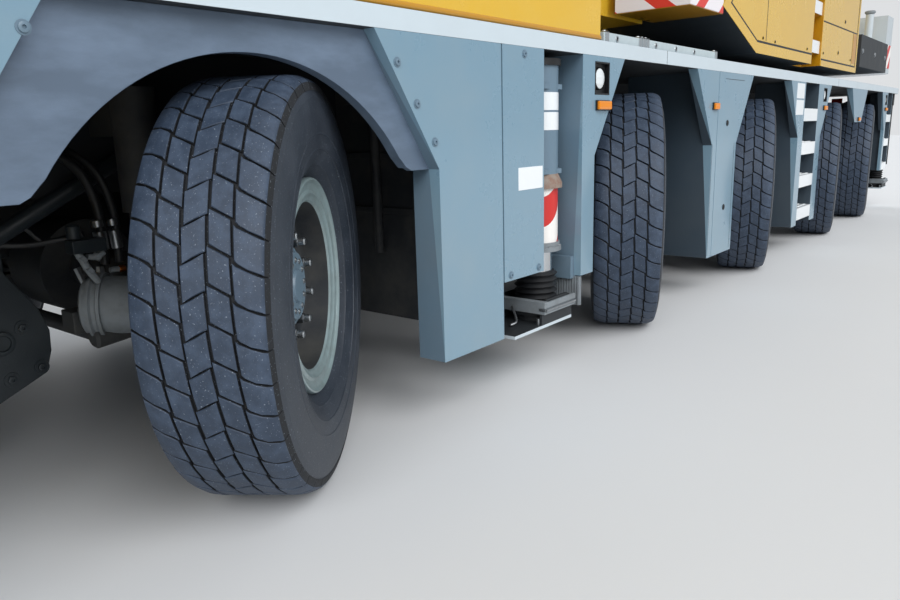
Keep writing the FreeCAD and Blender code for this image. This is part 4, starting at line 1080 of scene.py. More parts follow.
@dataclass
class Jack:
    """Outrigger jack: blank plates, bolted flanges, hose, handle and pad edge."""

    end: str
    side: str
    place: float

    # Low and high edge of each plate
    plates: tuple = ((1.246, 1.324), (1.158, 1.237))
    flanges: tuple = (0.918, 0.622)
    flange_circle: float = 0.114
    flange_bolts: int = 8
    inset: float = 0.150
    handle_height: float = 0.345

    def build(self) -> None:
        """Dress one jack and its beam."""
        sign = 1 if self.side == "left" else -1
        tail = "%s_%s" % (self.end, self.side)
        x, y = back(self.place), sign * (SIDE - self.inset)
        self.dress_tube(x, y, sign, tail)
        self.dress_foot(x, y, sign, tail)

    def dress_tube(self, x: float, y: float, sign: int, tail: str) -> None:
        """Dress the tube at the beam's end.

        Args:
            x: Place of the tube's middle.
            y: Place of the tube's middle.
            sign: 1 for left and -1 for right.
            tail: End and side, as in the names of bodies.
        """
        form = Form()
        for low, high in self.plates:
            self.curved_plate(form, x, y, low, high)
        for z in self.flanges:
            for i in range(self.flange_bolts):
                angle = 2 * math.pi * (i + 0.5) / self.flange_bolts
                spot = (x + self.flange_circle * math.cos(angle), y + self.flange_circle * math.sin(angle), z)
                form.bolt(spot, UP, 0.007, 1)
        form.pipe([(x + 0.05, y - sign * 0.09, 1.47), (x + 0.05, y - sign * 0.09, 1.482),
                   (x + 0.02, y - sign * 0.2, 1.484), (x, y - sign * 0.35, 1.44), (x, y - sign * 0.5, 1.37)],
                  0.011, 8, 2)
        form.bolt((x, y, 1.47), UP, 0.016, 1)
        form.piece("Jack_dress_" + tail, "outrigger_beam_" + tail, "beam_grey", [WHITE, ZINC, HOSE])

    def dress_foot(self, x: float, y: float, sign: int, tail: str) -> None:
        """Dress the pad's frame and its handle.

        Args:
            x: Place of the jack's middle.
            y: Place of the jack's middle.
            sign: 1 for left and -1 for right.
            tail: End and side, as in the names of bodies.
        """
        form = Form()
        z = self.handle_height
        grip, root = y + sign * 0.150, y + sign * 0.118
        rear, front = x - 0.12, x + 0.15
        for start, end in (((rear, grip), (front, grip)), ((rear, grip), (rear, root)),
                           ((front, grip), (front, root))):
            form.rod((*start, z), (*end, z), 0.008, 12, 0)
        for dx in (-0.085, 0.115):
            for out in (1, -1):
                form.bolt((x + dx, y + out * 0.1305, 0.348), (0, out, 0), 0.012, 0)
        near, far = y - sign * 0.215, y + sign * 0.147
        form.blocks((((x + 0.136, near, 0.322), (x + 0.152, far, 0.378), 1, 0.004),
                     ((x + 0.120, near, 0.370), (x + 0.152, far, 0.382), 1, 0.003),
                     ((x - 0.130, y + sign * 0.1325, 0.322), (x + 0.140, far, 0.378), 1, 0.004)))
        form.lathe([(0, 0.013), (0.0006, 0.013), (0.0006, 0)], (x + 0.152, y - sign * 0.11, 0.335), AHEAD, 20, 2)
        form.rod((x + 0.140, y + sign * 0.105, 0.30), (x + 0.140, y + sign * 0.105, 0.262), 0.011, 12, 0)
        form.pipe([(x + 0.160, y - sign * 0.03, 0.345), (x + 0.185, y, 0.320), (x + 0.215, y + sign * 0.03, 0.290),
                   (x + 0.250, y + sign * 0.02, 0.280)], 0.006, 8, 0, 4)
        form.piece("Jack_handle_" + tail, "outrigger_jack_" + tail, "rod_chrome", [ZINC, GREY_CASTING, BLACK])

    def curved_plate(self, form: Form, x: float, y: float, low: float, high: float) -> None:
        """Wrap a blank plate round the outer side of the tube.

        Args:
            form: Form that gets it.
            x: Place of the tube's middle.
            y: Place of the tube's middle.
            low: Height of the plate's lower edge.
            high: Height of its upper edge.
        """
        inside, outside = 0.1052, 0.1068
        start, sweep, steps = -10, 200, 12
        part = bmesh.new()
        rings = []
        for i in range(steps + 1):
            angle = math.radians(start + sweep * i / steps)
            across = (math.cos(angle), math.sin(angle) * (1 if y > 0 else -1))
            rings.append([part.verts.new((x + radius * across[0], y + radius * across[1], z))
                          for radius, z in ((inside, low), (outside, low), (outside, high), (inside, high))])
        for near, far in zip(rings, rings[1:]):
            join_rings(part, near, far)
        part.faces.new(rings[0])
        part.faces.new(rings[-1])
        form.take(part, 0)


@dataclass
class FlankTrim:
    """What is screwed to the side panels: screws, latches, lamps, seams and blank plates."""

    # Places behind the first axle and heights
    screws: tuple = ((0.541, 1.394), (0.634, 1.260), (0.724, 1.128), (-0.625, 1.405), (-0.990, 1.300))
    left_screws: tuple = ((1.312, 1.466), (1.200, 0.560), (1.420, 0.560))
    latches: tuple = ((3.790, 1.169), (3.802, 0.603), (6.56, 1.20))
    # Front and rear edge behind the first axle, lower and upper edge
    pockets: tuple = ((1.920, 2.068, 1.317, 1.470), (6.390, 6.512, 1.340, 1.466), (9.600, 9.715, 1.340, 1.466))
    ambers: tuple = ((1.928, 2.064, 1.243, 1.292), (3.497, 3.585, 1.252, 1.300), (6.400, 6.500, 1.262, 1.308),
                     (8.005, 8.085, 1.152, 1.196), (9.600, 9.700, 1.268, 1.312))
    plates: tuple = ((5.470, 5.702, 1.222, 1.345), (5.470, 5.702, 1.358, 1.482))
    seams: tuple = ((3.5285, 3.5315, 0.300, 1.035), (3.9505, 3.9535, 0.300, 1.035), (3.72, 4.10, 1.452, 1.455))
    screw_size: float = 0.0125
    pocket_depth: float = 0.024

    def lamp(self, form: Form, start: float, end: float, low: float, high: float) -> None:
        """Set a working lamp with its oval glass in a pocket of the panel.

        Args:
            form: Form that gets it.
            start: Front edge behind the first axle.
            end: Rear edge behind the first axle.
            low: Lower edge.
            high: Upper edge.
        """
        floor = SIDE - self.pocket_depth
        x0, x1 = back(end), back(start)
        rim = 0.008
        for a, b in (((x0, low), (x0 + rim, high)), ((x1 - rim, low), (x1, high)),
                     ((x0, low), (x1, low + rim)), ((x0, high - rim), (x1, high))):
            form.block((a[0], floor - 0.001, a[1]), (b[0], SIDE + 0.002, b[1]), 0, 0.002)
        form.block((x0 + rim, floor - 0.001, low + rim), (x1 - rim, floor + 0.004, high - rim), 0)
        middle = ((x0 + x1) / 2 + 0.012, floor + 0.004, (low + high) / 2)
        radius = min(x1 - x0, high - low) * 0.36
        form.lathe([(0.0, radius), (0.010, radius), (0.016, radius * 0.92)], middle, LEFT, 28, 0)
        form.lathe([(0.010, radius * 0.93), (0.0155, radius * 0.80), (0.0185, radius * 0.45), (0.0195, 0.0)],
                   middle, LEFT, 28, 1)

    def amber(self, form: Form, start: float, end: float, low: float, high: float) -> None:
        """Screw an amber side lamp on its black foot to the panel.

        Args:
            form: Form that gets it.
            start: Front edge behind the first axle.
            end: Rear edge behind the first axle.
            low: Lower edge.
            high: Upper edge.
        """
        x0, x1 = back(end), back(start)
        rim = 0.004
        form.block((x0, SIDE - 0.001, low), (x1, SIDE + 0.008, high), 0, 0.002)
        form.block((x0 + rim, SIDE + 0.007, low + rim), (x1 - rim, SIDE + 0.023, high - rim), 2, 0.006)

    def build(self) -> None:
        """Dress both flanks."""
        form = Form()
        for s, z in self.screws:
            form.bolt((back(s), SIDE, z), LEFT, self.screw_size, 3)
        for s, z in self.latches:
            form.latch((back(s), SIDE, z), 0.020, 0.013, 0)
            form.block((back(s) - 0.003, SIDE, z - 0.010), (back(s) + 0.003, SIDE + 0.003, z + 0.010), 0)
        for row in self.pockets:
            self.lamp(form, *row)
        for row in self.ambers:
            self.amber(form, *row)
        for start, end, low, high in self.plates:
            form.block((back(start), SIDE - 0.001, low), (back(end), SIDE + 0.0015, high), 4, 0.001)
        for start, end, low, high in self.seams:
            form.block((back(start), SIDE - 0.001, low), (back(end), SIDE + 0.0006, high), 0)
        form.both()
        form.block((back(1.452), SIDE - 0.001, 0.912), (back(1.262), SIDE + 0.0012, 1.007), 4, 0.001)
        for s, z in self.left_screws:
            form.bolt((back(s), SIDE, z), LEFT, self.screw_size, 3)
        form.piece("Flank_trim", "carrier", "panel_grey", [BLACK, CLEAR, AMBER, DARK_PANEL_AND_SHADE, WHITE])


@dataclass
class StepTrim:
    """Punched anti-slip sheets over the treads."""

    # Front and rear edge behind the first axle, side, lowest tread's underside, rise, treads, tread's height
    flights: tuple = ((5.740, 6.200, 1, 0.294, 0.291, 4, 0.105), (5.740, 6.200, -1, 0.294, 0.291, 4, 0.105),
                      (9.760, 10.070, 1, 0.520, 0.305, 3, 0.090), (10.110, 10.400, -1, 0.520, 0.305, 3, 0.090))
    inner: float = SIDE - 0.190
    sheet: float = 0.003
    # Distance of the rows of studs from the side, and the studs' distance in a row
    rows: tuple = (0.045, 0.100, 0.155)
    pitch: float = 0.055

    def build(self) -> None:
        """Dress every tread."""
        form = Form()
        for start, end, side, low, rise, count, tall in self.flights:
            for number in range(count):
                top = low + rise * number + tall
                lid = top + self.sheet
                form.block((back(end) + 0.004, side * (SIDE + 0.0015), top),
                           (back(start) - 0.004, side * self.inner, lid), 0, 0.001)
                form.block((back(end) + 0.003, side * SIDE, top - tall + 0.002),
                           (back(start) - 0.003, side * (SIDE + 0.002), lid), 0, 0.001)
                self.studs(form, start, end, side, lid)
        form.piece("Step_plates", "carrier", "deck_grey", [WHITE])

    def studs(self, form: Form, start: float, end: float, side: int, z: float) -> None:
        """Raise rows of hollow studs on a tread.

        Args:
            form: Form that gets them.
            start: Front edge of the tread behind the first axle.
            end: Rear edge.
            side: 1 for left and -1 for right.
            z: Height of the tread's face.
        """
        columns = int((end - start) / self.pitch)
        for row in self.rows:
            for i in range(columns):
                x = back(start) - (end - start) * (i + 0.5) / columns
                form.stud((x, side * (SIDE - row), z), 0.013)


@dataclass
class DeckTrim:
    """Seams of the deck's edge strip, the ladder's rung ends, clamps and the tread sheet on top."""

    # Front and rear end behind the first axle
    ladders: tuple = ((2.080, 2.520), (2.550, 3.650))
    sheets: tuple = ((2.05, 2.95), (7.9, 10.45))
    seams: tuple = (-0.946, 2.757, 6.95)
    pitch: float = 0.280
    rung_height: float = DECK_TOP + 0.026
    # The tread sheet's edges inside the crane's side, and the distance of its raised bars
    sheet_edges: tuple = (0.39, 0.80)
    bar_pitch: float = 0.045
    bar_rows: int = 8

    def build(self) -> None:
        """Dress the deck."""
        form = Form()
        for s in self.seams:
            form.block((back(s) - 0.0015, SIDE - 0.001, DECK_BOTTOM), (back(s) + 0.0015, SIDE + 0.0006, DECK_TOP), 0)
        for start, end in self.ladders:
            for number in range(int((end - start) // self.pitch)):
                x = back(start + self.pitch * (number + 0.5))
                for y, out in ((SIDE - 0.040, 1), (SIDE - 0.360, -1)):
                    spot = (x, y, self.rung_height)
                    form.lathe([(0, 0.0165), (0.003, 0.0155), (0.003, 0.0105), (0.0006, 0.0100), (0.0006, 0.0)],
                               spot, (0, out, 0), 16, 1)
                    form.lathe([(0.0012, 0.0095), (0.0012, 0.0)], spot, (0, out, 0), 12, 0)
            for s in (start + 0.03, end - 0.03):
                self.clamp(form, back(s))
        self.clamp(form, back(2.535))
        form.piece("Deck_trim", "carrier", "deck_grey", [BLACK, GALVANISED])
        sheet = Form()
        for start, end in self.sheets:
            self.tread_sheet(sheet, start, end)
        sheet.piece("Deck_tread_sheet", "carrier", "deck_grey", [GALVANISED])

    def clamp(self, form: Form, x: float) -> None:
        """Hold both rails of the ladder with a bent strap and a bolt.

        Args:
            form: Form that gets the straps.
            x: Place along the crane.
        """
        half, thick, tall = 0.018, 0.006, 0.050
        for y in (SIDE - 0.040, SIDE - 0.330):
            top = DECK_TOP + tall
            form.block((x - half, y - 0.034, DECK_TOP), (x + half, y + 0.004, DECK_TOP + thick), 1, 0.001)
            form.block((x - half, y - 0.034, top), (x + half, y + 0.004, top + thick), 1, 0.001)
            form.block((x - half, y, DECK_TOP), (x + half, y + 0.004, top + thick), 1, 0.001)
            form.bolt((x, y - 0.016, top + thick), UP, 0.010, 1)

    def tread_sheet(self, form: Form, start: float, end: float) -> None:
        """Lay a sheet with raised bars on the deck along both edges.

        Args:
            form: Form that gets it.
            start: Front edge behind the first axle.
            end: Rear edge.
        """
        x0, x1 = back(end), back(start)
        for side in (1, -1):
            y0, y1 = sorted(side * (SIDE - edge) for edge in self.sheet_edges)
            form.block((x0, y0, DECK_TOP), (x1, y1, DECK_TOP + 0.003), 0, 0.001)
            for i in range(int((x1 - x0) / self.bar_pitch)):
                for k in range(self.bar_rows):
                    turned = Matrix.Rotation(math.radians(45 if (i + k) % 2 else -45), 4, "Z")
                    x = x0 + 0.022 + i * self.bar_pitch
                    y = y0 + 0.025 + k * 0.051
                    form.block((x - 0.012, y - 0.0025, DECK_TOP + 0.002),
                               (x + 0.012, y + 0.0025, DECK_TOP + 0.0048), 0, 0.0, turned)


@dataclass
class ArchTrim:
    """Rivets that hold the rubber arches, and the ribbed flap behind the front jack."""

    face: float = SIDE - 0.050
    rivets: tuple = ((-0.76, 1.16), (-0.72, 1.44))
    # The flap's front face, inner and outer edge, lower and upper edge, and its ribs
    flap_x: float = back(1.800)
    flap: tuple = (1.150, 1.372, 0.305, 0.450)
    ribs: int = 15
    rib_share: float = 0.72

    def build(self) -> None:
        """Dress both arches."""
        form = Form()
        for s, z in self.rivets:
            form.bolt((back(s), self.face, z), LEFT, 0.010, 0)
        form.both()
        form.piece("Arch_rivets", "carrier", "fender_rubber", [BLACK])
        flap = Form()
        x = self.flap_x
        y0, y1, low, high = self.flap
        step = (y1 - y0) / self.ribs
        for i in range(self.ribs):
            y = y0 + step * i
            flap.block((x - 0.012, y, low), (x, y + step * self.rib_share, high), 0, 0.001)
        flap.block((x - 0.016, y0, low), (x - 0.010, y1, high), 0)
        flap.both()
        flap.piece("Ribbed_flap", "carrier", "fender_rubber", [GREY_CASTING])


@dataclass
class RunningGear:
    """Under the arches: brake chambers, air and oil hoses, steering rods and their brackets."""

    chamber_radius: float = 0.104
    chamber_y: float = 0.600
    chamber_x: float = 0.171
    bracket_y: float = 0.52
    # Stations of the chamber: distance towards its bolted end, and radius as a share
    chamber: tuple = ((0.074, 0.0), (0.073, 0.30), (0.066, 0.34), (0.064, 0.80), (0.056, 0.93), (0.040, 0.97),
                      (0.034, 0.97), (0.034, 1.10), (0.024, 1.12), (0.018, 1.04), (0.006, 1.04), (0.000, 1.12),
                      (-0.010, 1.10), (-0.010, 0.98), (-0.105, 0.96), (-0.120, 0.86), (-0.128, 0.0))
    # Each hose's place ahead of the first one, and its radius
    hoses: tuple = ((0.0, 0.016), (-0.052, 0.014))
    # Hose line: ahead, inboard and above the chamber's top
    hose_line: tuple = ((0.0, 0.0, -0.03), (0.0, 0.0, 0.05), (0.004, 0.0, 0.17), (0.035, 0.03, 0.29),
                        (0.10, 0.10, 0.37), (0.14, 0.18, 0.41))

    def add_chamber(self, form: Form, x: float, side: int, turn: float) -> None:
        """Clamp a brake chamber behind a knuckle, its domed end inboard.

        Args:
            form: Form that gets it.
            x: Place of the chamber's middle.
            side: 1 for left and -1 for right.
            turn: Steering angle in degrees.
        """
        r = self.chamber_radius
        sharp_turn = 17.0
        inward = (0.75 if turn > sharp_turn else -0.75, -side * 0.66, 0.03)
        spot = Vector((x, side * self.chamber_y, AXLE_HEIGHT - 0.069))
        form.lathe([(place, share * r) for place, share in self.chamber], spot, inward, 36, 0)
        along = Vector(inward).normalized()
        lift = Vector(UP)
        ahead = along.cross(lift).normalized()
        for i in range(6):
            angle = math.pi * i / 3
            out = (ahead * math.cos(angle) + lift * math.sin(angle)) * r * 0.62
            form.bolt(spot + out + along * 0.064, along, 0.008, 1)
        top = spot + lift * r
        form.rod(top - lift * 0.012, top + lift * 0.035, 0.014, 6, 1)
        form.rod(top + along * 0.055 - lift * 0.03, top + along * 0.075 + lift * 0.03, 0.012, 6, 1)

    def add_hoses(self, form: Form, x: float, side: int) -> None:
        """Lead two hoses from a chamber up to the frame, with their swaged ends.

        Args:
            form: Form that gets them.
            x: Place of the first hose.
            side: 1 for left and -1 for right.
        """
        low = AXLE_HEIGHT + self.chamber_radius
        y = side * self.chamber_y
        for shift, radius in self.hoses:
            form.pipe([(x + shift + dx, side * (self.chamber_y - dy), low + dz) for dx, dy, dz in self.hose_line],
                      radius, 10, 2)
            for a, b in ((0.02, 0.085), (0.10, 0.125)):
                form.rod((x + shift + a * 0.08, y, low + a), (x + shift + b * 0.08, y, low + b), radius * 1.35,
                         12, 1, 0.002)

    def build(self) -> None:
        """Dress every axle."""
        for axle, distance in enumerate(AXLES):
            form = Form()
            x = back(distance)
            chamber_x = x + (self.chamber_x if axle < 3 else -self.chamber_x)
            for side in (1, -1):
                self.add_chamber(form, chamber_x, side, STEERING[axle])
                self.add_hoses(form, chamber_x - 0.02, side)
                form.block((min(x, chamber_x) - 0.02, side * self.bracket_y - 0.045, AXLE_HEIGHT - 0.16),
                           (max(x, chamber_x) + 0.10, side * self.bracket_y + 0.045, AXLE_HEIGHT - 0.08), 3, 0.006)
            low = AXLE_HEIGHT - 0.17
            form.rod((x + 0.20, -0.62, low), (x + 0.20, 0.62, low), 0.028, 16, 3)
            for side in (1, -1):
                form.rod((x + 0.02, side * 0.62, low + 0.02), (x + 0.24, side * 0.62, low), 0.040, 14, 3, 0.01)
                form.pipe([(x + 0.30, side * 0.45, 1.06), (x + 0.42, side * 0.30, 0.92),
                           (x + 0.55, side * 0.42, 1.02)], 0.016, 10, 2)
            form.piece("Running_gear_%d" % (axle + 1), "carrier", "axle_black",
                       [GREY_CASTING, ZINC, HOSE, AXLE_PAINT])


@dataclass
class Underside:
    """What shows behind the first wheels: side plates of the front crossmember, tubes, sump and bulkhead."""

    inboard: float = 0.475
    # Plate's corners, bolts and ring: place behind the first axle, and height
    plate: tuple = ((-0.438, 0.763), (-0.342, 0.615), (-0.314, 0.530), (-0.318, 0.459), (-0.342, 0.385),
                    (-0.506, 0.315), (-0.720, 0.330), (-0.800, 0.450), (-0.780, 0.700), (-0.620, 0.820))
    bolts: tuple = ((-0.401, 0.557), (-0.359, 0.408), (-0.458, 0.389), (-0.560, 0.700), (-0.700, 0.420))
    ring: tuple = (-0.470, 0.519)
    # Points of each tube: place behind the first axle, outboard of the plate and height;
    # then its radius, sides, finish and steps
    tubes: tuple = (
        (((-0.80, 0.0, 0.69), (-0.421, 0.0, 0.876), (-0.143, 0.0, 1.021), (0.06, -0.02, 1.12)), 0.030, 16, 0, 3),
        (((-0.55, -0.03, 0.86), (-0.36, 0.02, 0.835), (-0.25, 0.05, 0.845), (-0.20, 0.10, 0.86)), 0.010, 10, 2, 4),
        (((-0.55, -0.03, 0.83), (-0.38, 0.0, 0.90), (-0.31, 0.03, 0.84)), 0.007, 8, 2, 4))
    # Small air lines with their nuts: place behind the first axle and height; radius
    air_lines: tuple = ((((-0.263, 0.812), (-0.250, 0.785), (-0.232, 0.745), (-0.205, 0.700)), 0.013),
                        (((-0.232, 0.792), (-0.200, 0.786), (-0.176, 0.800)), 0.011))
    sump: tuple = ((-0.34, 0.985), (-0.34, 0.78), (-0.22, 0.66), (0.22, 0.66), (0.34, 0.78), (0.34, 0.985))
    sump_fins: int = 7
    fin_pitch: float = 0.085

    def add_plate(self, form: Form) -> None:
        """Bolt the left side plate on and lead the tubes past it.

        Args:
            form: Form that gets them.
        """
        y = self.inboard
        form.prism([(back(s), z) for s, z in self.plate], Axis.Y, y - 0.024, y, 0, 0.004)
        for s, z in self.bolts:
            form.lathe([(0, 0.026), (0.003, 0.025), (0.003, 0.017)], (back(s), y, z), LEFT, 20, 0)
            form.bolt((back(s), y + 0.002, z), LEFT, 0.0152, 0)
        form.lathe([(0, 0.040), (0.010, 0.039), (0.013, 0.034), (0.013, 0.027), (0.004, 0.025), (0.004, 0.0)],
                   (back(self.ring[0]), y, self.ring[1]), LEFT, 28, 0)
        form.block((back(-0.42), 0.30, 0.700), (back(-0.70), y - 0.02, 1.0), 0, 0.006)
        for points, radius, sides, finish, steps in self.tubes:
            form.pipe([(back(s), y + out, z) for s, out, z in points], radius, sides, finish, steps)

    def add_fittings(self, form: Form) -> None:
        """Fit the valve with its air lines and the bulkhead behind the left wheel.

        Args:
            form: Form that gets them.
        """
        form.block((back(-0.172), 0.615, 0.806), (back(-0.285), 0.675, 0.850), 0, 0.004)
        form.rod((back(-0.262), 0.640, 0.90), (back(-0.262), 0.640, 0.849), 0.022, 16, 0, 0.006)
        for points, radius in self.air_lines:
            line = [(back(s), 0.650, z) for s, z in points]
            form.pipe(line, radius, 10, 1, 3)
            for x, y, z in line[1:-1]:
                form.rod((x - 0.006, y, z + 0.005), (x + 0.006, y, z - 0.005), radius * 1.5, 6, 1)
        form.rod((back(-0.150), 0.625, 0.729), (back(-0.118), 0.625, 0.729), 0.010, 6, 1)
        form.rod((back(-0.118), 0.625, 0.729), (back(-0.096), 0.625, 0.729), 0.012, 12, 3, 0.002)
        form.block((back(1.137), 0.425, 0.31), (back(1.125), 1.235, DECK_BOTTOM), 4, 0.002)
        for z in (0.80, 1.05, 1.30):
            form.block((back(1.125), 0.50, z), (back(1.113), 1.18, z + 0.03), 4, 0.004)
        for y in (0.70, 0.95):
            form.rod((back(1.10), y, 0.62), (back(1.10), y, DECK_BOTTOM), 0.022, 14, 4)

    def build(self) -> None:
        """Build both sides' plates and tubes, and the middle."""
        form = Form()
        self.add_plate(form)
        self.add_fittings(form)
        form.both()
        form.block((back(-0.42), -0.40, 0.72), (back(-0.95), 0.40, 1.02), 0, 0.02)
        form.block((back(0.48), -0.26, 0.70), (back(-0.46), -0.24, 1.00), 4, 0.004)
        form.prism(self.sump, Axis.X, back(1.02), back(0.40), 4, 0.012)
        for i in range(self.sump_fins):
            x = back(0.45 + self.fin_pitch * i)
            form.block((x - 0.012, -0.35, 0.70), (x, 0.35, 0.95), 4, 0.003)
        form.piece("Front_underside", "carrier", "axle_black", [STEEL_BLUE, GREY_CASTING, HOSE, BRASS, AXLE_PAINT])


@dataclass
class CoverTrim:
    """Engine cover: louvre blades, door seams, handles, roof rails, intake and exhaust."""

    face: float = 1.355
    roof: float = 2.468
    # Places behind the first axle
    seams: tuple = (-0.42, 0.46, 1.16, 1.62)
    latches: tuple = (0.05, 1.02, 1.52)
    # The roof rail's places behind the first axle and its rise
    rail: tuple = ((-0.6, 0.0), (-0.6, 0.10), (-0.52, 0.13), (1.6, 0.13), (1.68, 0.10), (1.68, 0.0))
    first_louvre: float = -0.270
    louvre_pitch: float = 0.150
    louvres: int = 9
    blade_angle: float = 34.0

    def build(self) -> None:
        """Dress the cover."""
        form = Form()
        slant = Matrix.Rotation(math.radians(self.blade_angle), 4, "Z")
        # The blades sit behind the face in deeper yellow: painted shade in the louvres
        for number in range(self.louvres):
            x = back(self.first_louvre + self.louvre_pitch * number)
            for shift in (-0.016, 0.014):
                form.block((x + shift - 0.020, self.face - 0.030, self.roof - 0.508),
                           (x + shift + 0.020, self.face - 0.026, self.roof - 0.238), 0, 0.0, slant)
        for s in self.seams:
            form.block((back(s) - 0.002, self.face - 0.001, 1.80), (back(s) + 0.002, self.face + 0.0006, 2.285), 1)
        form.block((back(self.seams[-1]), self.face - 0.001, 1.798),
                   (back(self.seams[0]), self.face + 0.0006, 1.802), 1)
        for s in self.latches:
            self.handle(form, back(s), 1.88)
        for s in self.seams[:3]:
            for z in (1.86, 2.20):
                form.rod((back(s), self.face + 0.006, z), (back(s), self.face + 0.006, z + 0.07), 0.007, 12, 1)
        form.both()
        form.piece("Cover_trim", "carrier", "crane_yellow", [DEEP_YELLOW_AND_SHADE, BLACK, ZINC])
        roof = Form()
        for y in (0.75, -0.75):
            roof.pipe([(back(s), y, self.roof + rise) for s, rise in self.rail], 0.014, 12, 1, 3)
        roof.lathe([(0, 0.11), (0.16, 0.11), (0.20, 0.15), (0.26, 0.15), (0.30, 0.09), (0.31, 0.0)],
                   (back(0.9), 0.98, self.roof), UP, 32, 0)
        roof.pipe([(back(1.75), -0.98, self.roof - 0.02), (back(1.75), -0.98, self.roof + 0.26),
                   (back(1.80), -0.98, self.roof + 0.33), (back(1.90), -0.98, self.roof + 0.36)], 0.065, 24, 2, 4)
        for i in range(18):
            x = back(-0.35 + 0.07 * i)
            roof.block((x - 0.012, -0.45, self.roof), (x + 0.012, 0.45, self.roof + 0.012), 0, 0.003)
        roof.piece("Cover_roof_trim", "carrier", "crane_yellow", [BLACK, BLACK, ZINC])

    def handle(self, form: Form, x: float, z: float) -> None:
        """Sink a paddle latch in its black dish.

        Args:
            form: Form that gets it.
            x: Place of its middle along the crane.
            z: Height of its middle.
        """
        form.block((x - 0.060, self.face - 0.001, z - 0.045), (x + 0.060, self.face + 0.004, z + 0.045), 1, 0.003)
        form.block((x - 0.045, self.face + 0.003, z - 0.018), (x + 0.045, self.face + 0.012, z + 0.030), 1, 0.004)
        form.lathe([(0, 0.009), (0.003, 0.008), (0.003, 0)], (x, self.face + 0.004, z - 0.032), LEFT, 16, 2)


